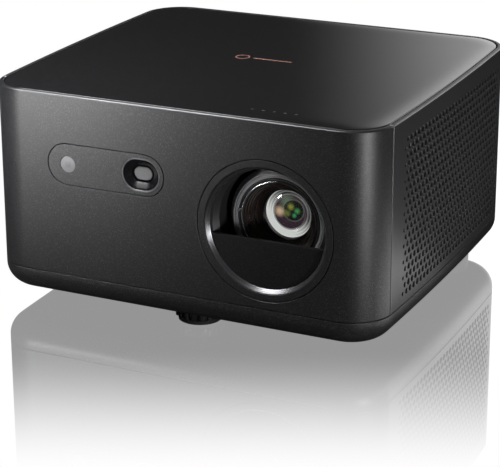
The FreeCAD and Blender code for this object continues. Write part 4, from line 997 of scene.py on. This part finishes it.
class GlassWithPaintedReflections:
    """The inner glass, whose colour carries painted reflections (a pale crescent, a rim glint and tinted spots) and
    glows by itself.
    """

    radius: float = 12.9

    @staticmethod
    def disc_group() -> Tree:
        """A soft-edged round mask."""
        tree, entry, leave = new_tree("soft_disc", "ShaderNodeTree", {
            "Spot": ("Vector", (0.0, 0.0, 0.0)), "Centre": ("Vector", (0.0, 0.0, 0.0)), "Radius": ("Float", 0.5),
            "Softness": ("Float", 0.1)}, {"Mask": "Float"})
        away = vector_calc(tree, "DISTANCE", "Value", entry.outputs["Spot"], entry.outputs["Centre"])
        edge = calc(tree, "SUBTRACT", entry.outputs["Radius"], away)
        node = add_node(tree, "ShaderNodeMapRange", {
            "Value": edge, "From Min": 0.0, "From Max": entry.outputs["Softness"]}, interpolation_type="SMOOTHSTEP")
        plug(tree, leave.inputs["Mask"], node.outputs["Result"])
        return tree

    def material(self) -> bpy.types.Material:
        """Dark glass with a painted pale crescent, a painted rim glint and small painted tinted reflections, lit by
        its own glow.
        """
        made = bpy.data.materials.new("coated_glass")
        made.use_nodes = True
        tree = made.node_tree
        tree.nodes.clear()
        group = self.disc_group()
        spot = add_node(tree, "ShaderNodeMapping", {
            "Vector": add_node(tree, "ShaderNodeTexCoord").outputs["Object"],
            "Location": (-LENS_X / self.radius, 0.0, -LENS_Z / self.radius),
            "Scale": (1000.0 / self.radius, 0.0, 1000.0 / self.radius)}).outputs[0]

        def disc(x: float, z: float, radius: float, soft: float) -> Any:
            """A mask round one point."""
            inputs = {"Spot": spot, "Centre": (x, 0.0, z), "Radius": radius, "Softness": soft}
            return add_node(tree, "ShaderNodeGroup", inputs, node_tree=group).outputs[0]

        radius = vector_calc(tree, "LENGTH", "Value", spot)
        crescent_side = vector_calc(tree, "DOT_PRODUCT", "Value", spot, (-0.6, 0.0, -0.8))
        fine = calc(tree, "MULTIPLY", calc(tree, "SINE", calc(tree, "MULTIPLY", radius, 62.0)), 0.12)
        # The pale crescent is a painted reflection in a band near the edge. It is brightest towards the lower left,
        # with fine ripples.
        band = calc(tree, "MULTIPLY", ramp(tree, radius, 0.60, 0.74), ramp(tree, radius, 1.0, 0.95))
        painted_crescent = calc(tree, "MULTIPLY", band, calc(tree, "ADD", ramp(tree, crescent_side, -0.5, 0.7, 0.06, 0.86), fine))
        # A painted glint: a thin pale ring near the rim.
        edge = calc(tree, "MULTIPLY", ramp(tree, radius, 0.90, 0.94), ramp(tree, radius, 0.99, 0.96))
        painted_ring_glint = calc(tree, "SUBTRACT", disc(0.16, 0.12, 0.47, 0.04), disc(0.16, 0.12, 0.43, 0.04))
        colour: Any = (0.006, 0.005, 0.006)
        # Every tint below is a painted reflection laid over the dark glass: dark and green sheens, the dark inner disc
        # with its ring glint, peach, yellow, green and olive spots, then the rim glint and the pale crescent.
        for mask, share, tint in (
                (disc(0.05, 0.05, 0.78, 0.2), 0.9, (0.040, 0.022, 0.034)),
                (disc(-0.12, 0.42, 0.42, 0.35), 0.8, (0.13, 0.17, 0.12)),
                (disc(0.16, 0.12, 0.46, 0.06), 0.85, (0.008, 0.012, 0.008)), (painted_ring_glint, 0.25, (0.30, 0.34, 0.26)),
                (disc(-0.42, 0.02, 0.30, 0.28), 0.85, (0.66, 0.46, 0.30)),
                (disc(0.05, 0.26, 0.20, 0.20), 0.8, (0.30, 0.30, 0.05)),
                (disc(0.32, 0.12, 0.17, 0.17), 0.75, (0.07, 0.36, 0.10)),
                (disc(0.20, -0.08, 0.13, 0.13), 0.7, (0.05, 0.40, 0.16)),
                (disc(-0.10, -0.02, 0.20, 0.20), 0.6, (0.22, 0.26, 0.05)),
                (edge, 0.45, (0.60, 0.58, 0.60)), (painted_crescent, 1.0, (0.84, 0.83, 0.81))):
            colour = blend_colour(tree, calc(tree, "MULTIPLY", mask, share), colour, tint)
        rough = ramp(tree, disc(0.0, 0.0, 0.8, 0.3), 0.0, 1.0, 0.2, 0.06)
        # The painted colour also glows, though the glass is no lamp.
        shader = add_node(tree, "ShaderNodeBsdfPrincipled", {
            "Base Color": colour, "Roughness": rough, "Emission Color": colour, "Emission Strength": 0.85})
        add_node(tree, "ShaderNodeOutputMaterial", {"Surface": shader.outputs[0]})
        return made


@dataclass
class LensFront:
    """Everything round the lens: ring, stepped tunnel, mask, barrel, sliding cell and glass."""

    ring: Pair = (37.5, 33.8)
    mask_radius: float = 31.75
    mask_top: float = 60.2
    cone_steps: int = 8
    lugs: tuple[tuple[str, float], ...] = (("left", 172.0), ("right", -52.0))
    lug_radius: float = 22.2
    teeth: int = 110

    def trim(self) -> None:
        """The painted ring, flush with the front."""
        outer, inner = self.ring
        ring = LENS.turned("lens_ring", rounded([
            (inner, 4.0, 0), (inner, 0.0, 0.35), (outer, 0.0, 0.12), (outer, 2.6, 0), (39.3, 2.6, 0), (39.3, 4.0, 0)]),
            COVER, 160)
        mount(even_shading(ring), "root", "cover_paint", "lens_trim_ring")

    def tunnel(self) -> None:
        """The tunnel's fine steps down to the mask and its ridges beyond it."""
        inner: list[tuple[float, float, float]] = []
        for step in range(3):
            radius, depth = 33.6 - 0.58 * step, 0.75 + 0.78 * step
            inner += [(radius, depth, 0.06), (radius - 0.5, depth + 0.55, 0.06), (radius - 0.5, depth + 0.72, 0.04)]
        inner += [(31.9, 3.1, 0.12), (31.9, 5.4, 0)]
        for step in range(6):
            radius, depth = 31.75 - 0.24 * step, 5.5 + 0.92 * step
            inner += [(radius, depth, 0.05), (radius - 0.3, depth + 0.45, 0.05), (radius - 0.02, depth + 0.6, 0.05)]
        outline = inner + [(33.5, 11.0, 0), (33.5, 5.6, 0), (40.0, 5.6, 0), (40.0, 4.05, 0), (33.76, 4.05, 0),
                           (33.76, 0.75, 0)]
        mount(even_shading(LENS.turned("lens_tunnel_steps", rounded(outline, 3), TUNNEL, 160), 40), "root",
              "tunnel_black", "lens_tunnel")

    def mask(self) -> None:
        """The half-moon plate over the lower part of the opening."""
        def moon(inset: float, y: float) -> list[Point]:
            """The plate's outline, drawn in by an inset."""
            radius, chord = self.mask_radius - inset, self.mask_top - inset - LENS_Z
            start = math.asin(chord / radius)
            sweep = math.pi + 2 * start
            return [LENS.place(radius, start - sweep * k / 96, y) for k in range(97)]
        plate = loft("half_moon_mask", [moon(inset, y) for inset, y in (
            (0.35, 3.3), (0.1, 3.4), (0.0, 3.65), (0.0, 5.2))], MASK)
        mount(even_shading(plate), "root", "mask_paint", "lens_mask")

    def barrel(self) -> None:
        """The fixed barrel with its chamfered lip."""
        outline = [(24.3, 17.2, 0), (24.3, 17.9, 0), (24.9, 17.9, 0), (24.9, 17.0, 0.1), (25.4, 17.0, 0.1),
                   (27.8, 19.6, 0.3), (27.8, 42.3, 0), (30.0, 42.3, 0), (30.0, 44.0, 0), (27.8, 44.0, 0),
                   (27.8, 58.5, 0), (33.0, 58.5, 0), (33.0, 62.6, 0), (15.0, 62.6, 0), (15.0, 50.5, 0),
                   (23.05, 50.5, 0), (23.05, 17.7, 0.1)]
        mount(even_shading(LENS.turned("lens_barrel_lip", rounded(outline), BARREL_WITH_PAINTED_SHEEN, 128)), "root", "barrel_metal",
              "lens_barrel")

    def cell(self) -> None:
        """The sliding cell: a toothed band, a bright edge and a ribbed cone down to the glass."""
        outline = [(23.0, 18.0, 0.1), (22.7, 17.6, 0), (21.6, 17.6, 0), (21.4, 17.25, 0.05), (20.9, 17.3, 0),
                   (20.6, 17.5, 0)]
        for step in range(self.cone_steps):
            radius, depth = 19.75 - 0.85 * step, 18.8 + 1.4 * step
            outline += [(radius + 0.35, depth, 0.08), (radius, depth, 0.12)]
        outline += [(13.3, 29.0, 0.1), (13.3, 34.0, 0), (11.5, 34.0, 0), (11.5, 47.0, 0), (23.0, 47.0, 0)]
        cell = LENS.turned("lens_cell_cone", rounded(outline, 3), CELL, 128)
        mount(even_shading(cell), "lens_cell", "cell_black", "lens_cell")
        edge = LENS.turned("cell_bright_edge", rounded([
            (20.62, 17.55, 0), (20.62, 17.35, 0.05), (20.95, 17.2, 0.05), (21.3, 17.3, 0.05), (21.3, 17.5, 0)], 2),
            BRIGHT, 128)
        mount(edge, "lens_cell", "cell_black")
        for side, angle in self.lugs:
            rings = [[LENS.place(self.lug_radius + u, math.radians(angle) + v / self.lug_radius, depth)
                      for u, v in block(0.6 - i, 0.9 - i, 0.2)]
                     for i, depth in ((0.0, 17.7), (0.0, 17.1), (0.12, 16.95))]
            mount(loft("cell_lug_" + side, rings, BRIGHT), "lens_cell", "cell_black")
        about_z = Spindle((0.0, 0.0, 0.0), Axis.Z)
        band = about_z.turned("cell_tooth_band", rounded([(21.75, -0.1, 0), (21.75, 0.02, 0.02), (22.55, 0.02, 0.02),
                                                          (22.55, -0.1, 0)], 2), CELL_BAND, 128)
        tooth = loft("tooth", [[(x, y, z) for x, y in block(0.34 - i, 0.34 - i, 0.1, 1)]
                               for i, z in ((0.0, 0.0), (0.0, 0.12), (0.1, 0.2))])
        Repeats.grow(band, Repeats.ring_tree(), Part=tooth, Count=self.teeth, Radius=22.15 * MM, Finish=CELL_BAND.material())
        bpy.data.objects.remove(tooth)
        band.data.transform(Matrix.Translation(Vector(LENS.place(0, 0, 17.5)) * MM) @ Matrix.Rotation(
            math.radians(90), 4, "X"))
        mount(band, "lens_cell", "cell_black")

    def glass(self) -> None:
        """The front glass and, just behind it, a surface whose colour carries painted reflections and glows by itself.
        """
        radius, sag, edge = 12.9, 2.2, 29.5
        dome = [(radius * math.sin(a), edge - sag * (math.cos(a) - math.cos(math.radians(80))))
                for a in (math.radians(8 * k) for k in range(11))]
        profile = [(0.0, 33.0), (0.0, dome[0][1])] + dome[1:] + [(13.2, 29.7), (13.2, 33.4), (12.6, 33.6)]
        clear = Finish("clear_glass", (0.92, 0.96, 0.95), 0.10, (0.92, 0.96, 0.95), size=3.0, swing=0.0, depth=0.0,
                       transmission=1.0, ior=1.5)
        lens = LENS.turned("front_glass", profile, clear, 96, 50)
        mount(lens, "lens_cell", "lens_glass", "front_lens")
        hollow = [(12.9 * k / 10, 33.75 - 0.5 * (1 - (k / 10) ** 2)) for k in range(11)]
        inner = LENS.turned("coated_inner_glass", [(0.0, 33.95)] + hollow + [(12.9, 33.95)], None, 96, 50)
        inner.data.materials.append(GlassWithPaintedReflections().material())
        mount(inner, "lens_cell", "lens_glass")

    def build(self) -> None:
        """Make the lens from its ring inwards."""
        self.trim()
        self.tunnel()
        self.mask()
        self.barrel()
        self.cell()
        self.glass()


@dataclass
class Feet:
    """The knurled front foot and the two rear feet."""

    y: float = FOOT_Y
    knob: float = 13.0
    knurls: int = 18
    rear: tuple[float, float, float] = (88.5, 77.0, 11.0)

    def front_knob(self) -> None:
        """The knob with a knurl round its rim, and its metal neck and stud."""
        about_z = Spindle((0.0, 0.0, 0.0), Axis.Z)
        body = about_z.turned("foot_knob", rounded([
            (2.1, 2.25, 0), (self.knob - 0.9, 2.25, 0.4), (self.knob - 0.9, 7.0, 0.5), (6.2, 7.0, 0.3),
            (6.2, 5.7, 0), (2.1, 5.7, 0)]), FOOT, 96)
        rib = loft("rib", [[(x, y, z) for x, y in rounded([
            (-1.2, -1.55 + i, 0.3), (1.25 - i, -1.25 + i, 0.55), (1.25 - i, 1.25 - i, 0.55), (-1.2, 1.55 - i, 0.3)],
            3)] for i, z in ((0.4, 2.3), (0.0, 2.7), (0.0, 6.5), (0.4, 6.95))])
        Repeats.grow(body, Repeats.ring_tree(), Part=rib, Count=self.knurls, Radius=12.1 * MM, Finish=FOOT.material())
        bpy.data.objects.remove(rib)
        body.data.transform(Matrix.Translation((0.0, self.y * MM, 0.0)))
        mount(body, "foot_screw", "foot_black", "foot_screw")
        axis = Spindle((0.0, self.y, 0.0), Axis.Z)
        stud = axis.turned("foot_stud", rounded([
            (2.1, 5.8, 0), (6.0, 5.8, 0.1), (6.0, 8.6, 0.3), (4.0, 9.8, 0.2), (4.0, 34.0, 0.4), (0, 34.0, 0),
            (0, 5.8, 0)]), STEEL, 48)
        mount(stud, "foot_screw", "foot_black")

    def rear_feet(self) -> None:
        """Both rear feet, each with a dished, ringed sole."""
        x, y, radius = self.rear
        for side, name in ((-1, "left"), (1, "right")):
            foot = Spindle((side * x, y, 0.0), Axis.Z).turned("rear_foot_" + name, rounded([
                (0, 0.6, 0), (7.5, 0.6, 0.2), (8.2, 0.0, 0.3), (radius, 0.0, 1.0), (radius - 0.3, 9.95, 0.3),
                (0, 9.95, 0)]), RUBBER, 72)
            mount(even_shading(foot), "root", "rubber", *(["rear_feet"] if side > 0 else []))

    def build(self) -> None:
        """Make all three feet."""
        self.front_knob()
        self.rear_feet()


@dataclass
class BackDetails:
    """The power button's dished cap."""

    x: float = 48.0
    z: float = 53.0
    size: Pair = (13.0, 7.0)

    def build(self) -> None:
        """Make the button with a dished cap."""
        width, height = self.size
        rings = [stadium(self.x, self.z, width, height, inset, BACK + y) for inset, y in (
            (0.0, -5.0), (0.0, -2.4), (0.2, -2.05), (0.6, -1.95), (1.6, -2.1), (2.6, -2.2))]
        cap = loft("power_button_cap", rings, SLOT_FINISH["button_plastic"])
        mount(even_shading(cap), "power_button", "button_plastic", "power_button")


class InnerWorks:
    """Dresses every carried-over node whose plain shape stays."""

    def build(self) -> None:
        """Give each kept node its own finish."""
        for node, slot in KEPT_NODES.items():
            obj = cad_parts[node]
            material = SLOT_FINISH[slot].material()
            if not obj.material_slots:
                obj.data.materials.append(material)
            for holder in obj.material_slots:
                holder.material = material
            log.info("%s is dressed in %s", node, slot)


# ---------------------------------------------------------------- studio

@dataclass(frozen=True)
class Softbox:
    """A rectangular soft light, in metres and watts, with its spread in degrees."""

    name: str
    place: Point
    aim: Point
    size: Pair
    power: float
    spread: float = 180.0

    def hang(self) -> None:
        """Add the light, aimed at its point and hidden from the camera."""
        data = bpy.data.lights.new(self.name, "AREA")
        data.shape, data.energy, data.spread = "RECTANGLE", self.power, math.radians(self.spread)
        data.size, data.size_y = self.size
        obj = bpy.data.objects.new(self.name, data)
        bpy.context.scene.collection.objects.link(obj)
        obj.visible_camera = False
        obj.location = self.place
        obj.rotation_euler = (Vector(self.aim) - Vector(self.place)).to_track_quat("-Z", "Y").to_euler()


LIGHTS = (
    Softbox("over_front", (-0.50, -0.46, 1.05), (0.0, -0.08, 0.10), (0.8, 0.8), 4.6),
    Softbox("top_front", (-0.12, -0.17, 0.30), (-0.08, -0.10, 0.10), (0.20, 0.04), 0.70),
    Softbox("key_left", (-0.28, -0.50, 0.10), (-0.11, -0.10, 0.12), (0.12, 0.08), 0.124, 35.0),
    Softbox("low_front_right", (0.35, -0.25, 0.04), (0.114, -0.07, 0.03), (0.15, 0.05), 0.29),
    Softbox("corner_right", (0.4816, -0.3285, 0.02), (0.10, -0.09, 0.07), (0.04, 0.05), 0.118, 90.0),
    Softbox("floor_right", (0.20, -0.02, 0.002), (0.20, -0.02, 1.0), (0.10, 0.15), 0.11))


@dataclass
class Studio:
    """The floor, the surroundings and the camera; floor distances are in metres."""

    lens: float = 134.57
    yaw: float = 0.4634
    pitch: float = 0.3185
    roll: float = -0.0106
    spot: Point = (422.62, -906.85, 388.45)
    shift: Pair = (0.0812, -0.117)
    mirror_share: float = 0.70
    mirror_fade: Pair = (0.12, 0.28)
    glow: float = 1.95
    ambient: float = 0.028
    floor_radius: float = 9000.0

    def camera(self) -> None:
        """A long lens, a little above and to the right."""
        data = bpy.data.cameras.new("camera")
        data.lens, data.sensor_width = self.lens, 36.0
        data.shift_x, data.shift_y = self.shift
        data.clip_start, data.clip_end = 0.05, 50.0
        cy, sy, cp, sp = math.cos(self.yaw), math.sin(self.yaw), math.cos(self.pitch), math.sin(self.pitch)
        ahead, right = Vector((-sy * cp, cy * cp, -sp)), Vector((cy, sy, 0.0))
        up = right.cross(ahead)
        cr, sr = math.cos(self.roll), math.sin(self.roll)
        columns = (right * cr + up * sr, up * cr - right * sr, -ahead)
        obj = bpy.data.objects.new("camera", data)
        bpy.context.scene.collection.objects.link(obj)
        turn = Matrix(columns).transposed().to_4x4()
        obj.matrix_world = Matrix.Translation(Vector(self.spot) * MM) @ turn
        bpy.context.scene.camera = obj

    def floor(self) -> None:
        """A broad floor, evenly white to the camera, whose mirror fades towards the front."""
        finish = bpy.data.materials.new("pale_floor")
        finish.use_nodes = True
        tree = finish.node_tree
        tree.nodes.clear()
        spot = add_node(tree, "ShaderNodeTexCoord").outputs["Object"]
        parts = add_node(tree, "ShaderNodeSeparateXYZ", {0: spot})
        toward = calc(tree, "SUBTRACT", calc(tree, "MULTIPLY", parts.outputs[0], 0.45), parts.outputs[1])
        lit = add_node(tree, "ShaderNodeEmission", {"Color": (1.0, 1.0, 1.0), "Strength": 1.0})
        mirror = add_node(tree, "ShaderNodeBsdfGlossy", {
            "Color": (1.0, 1.0, 1.0), "Roughness": 0.0})
        sheen = add_node(tree, "ShaderNodeMixShader", {
            0: ramp(tree, toward, *self.mirror_fade, self.mirror_share, 0.0), 1: lit.outputs[0], 2: mirror.outputs[0]})
        bounce = add_node(tree, "ShaderNodeBsdfDiffuse", {"Color": (0.05, 0.05, 0.05)})
        path = add_node(tree, "ShaderNodeLightPath").outputs["Is Camera Ray"]
        mix = add_node(tree, "ShaderNodeMixShader", {0: path, 1: bounce.outputs[0], 2: sheen.outputs[0]})
        add_node(tree, "ShaderNodeOutputMaterial", {"Surface": mix.outputs[0]})
        centre, count = Spindle((0.0, 0.0, -0.02), Axis.Z), 48
        rim = [centre.place(self.floor_radius, math.tau * k / count, 0.0) for k in range(count)]
        floor = piece("floor", rim + [centre.origin], [(k, (k + 1) % count, count) for k in range(count)])
        floor.data.materials.append(finish)

    def sky(self) -> None:
        """Dim surroundings with a soft glow low behind on the right; the floor's mirror sees plain white."""
        world = bpy.data.worlds.new("studio")
        world.use_nodes = True
        bpy.context.scene.world = world
        tree = world.node_tree
        tree.nodes.clear()
        way = add_node(tree, "ShaderNodeTexCoord").outputs["Generated"]
        parts = add_node(tree, "ShaderNodeSeparateXYZ", {0: way})
        around = calc(tree, "ARCTAN2", parts.outputs[0], parts.outputs[1])
        rise = ramp(tree, around, math.radians(-24), math.radians(-12))
        fade = ramp(tree, around, math.radians(70), math.radians(20))
        low = ramp(tree, parts.outputs[2], math.sin(math.radians(30)), math.sin(math.radians(22)))
        glow = calc(tree, "MULTIPLY", calc(tree, "MULTIPLY", rise, fade), low)
        soft = calc(tree, "ADD", calc(tree, "MULTIPLY", glow, self.glow), self.ambient)
        mirrored = add_node(tree, "ShaderNodeLightPath").outputs["Is Singular Ray"]
        strength = calc(tree, "MAXIMUM", soft, mirrored)
        back = add_node(tree, "ShaderNodeBackground", {"Color": (1.0, 1.0, 1.0), "Strength": strength})
        add_node(tree, "ShaderNodeOutputWorld", {"Surface": back.outputs[0]})

    def build(self) -> None:
        """Set up the stage."""
        self.camera()
        self.floor()
        self.sky()
        for light in LIGHTS:
            light.hang()
        bpy.context.scene.view_settings.view_transform = "Standard"


def main() -> None:
    """Build the projector, piece by piece, and its studio."""
    logging.basicConfig(level=logging.INFO, format="%(name)s: %(message)s")
    for part in (Shell(), TopPlate(), SensorWindow(), LensFront(), Feet(), BackDetails(), InnerWorks(), Studio()):
        log.info("building %s", type(part).__name__)
        part.build()


if __name__ == "__main__":
    main()
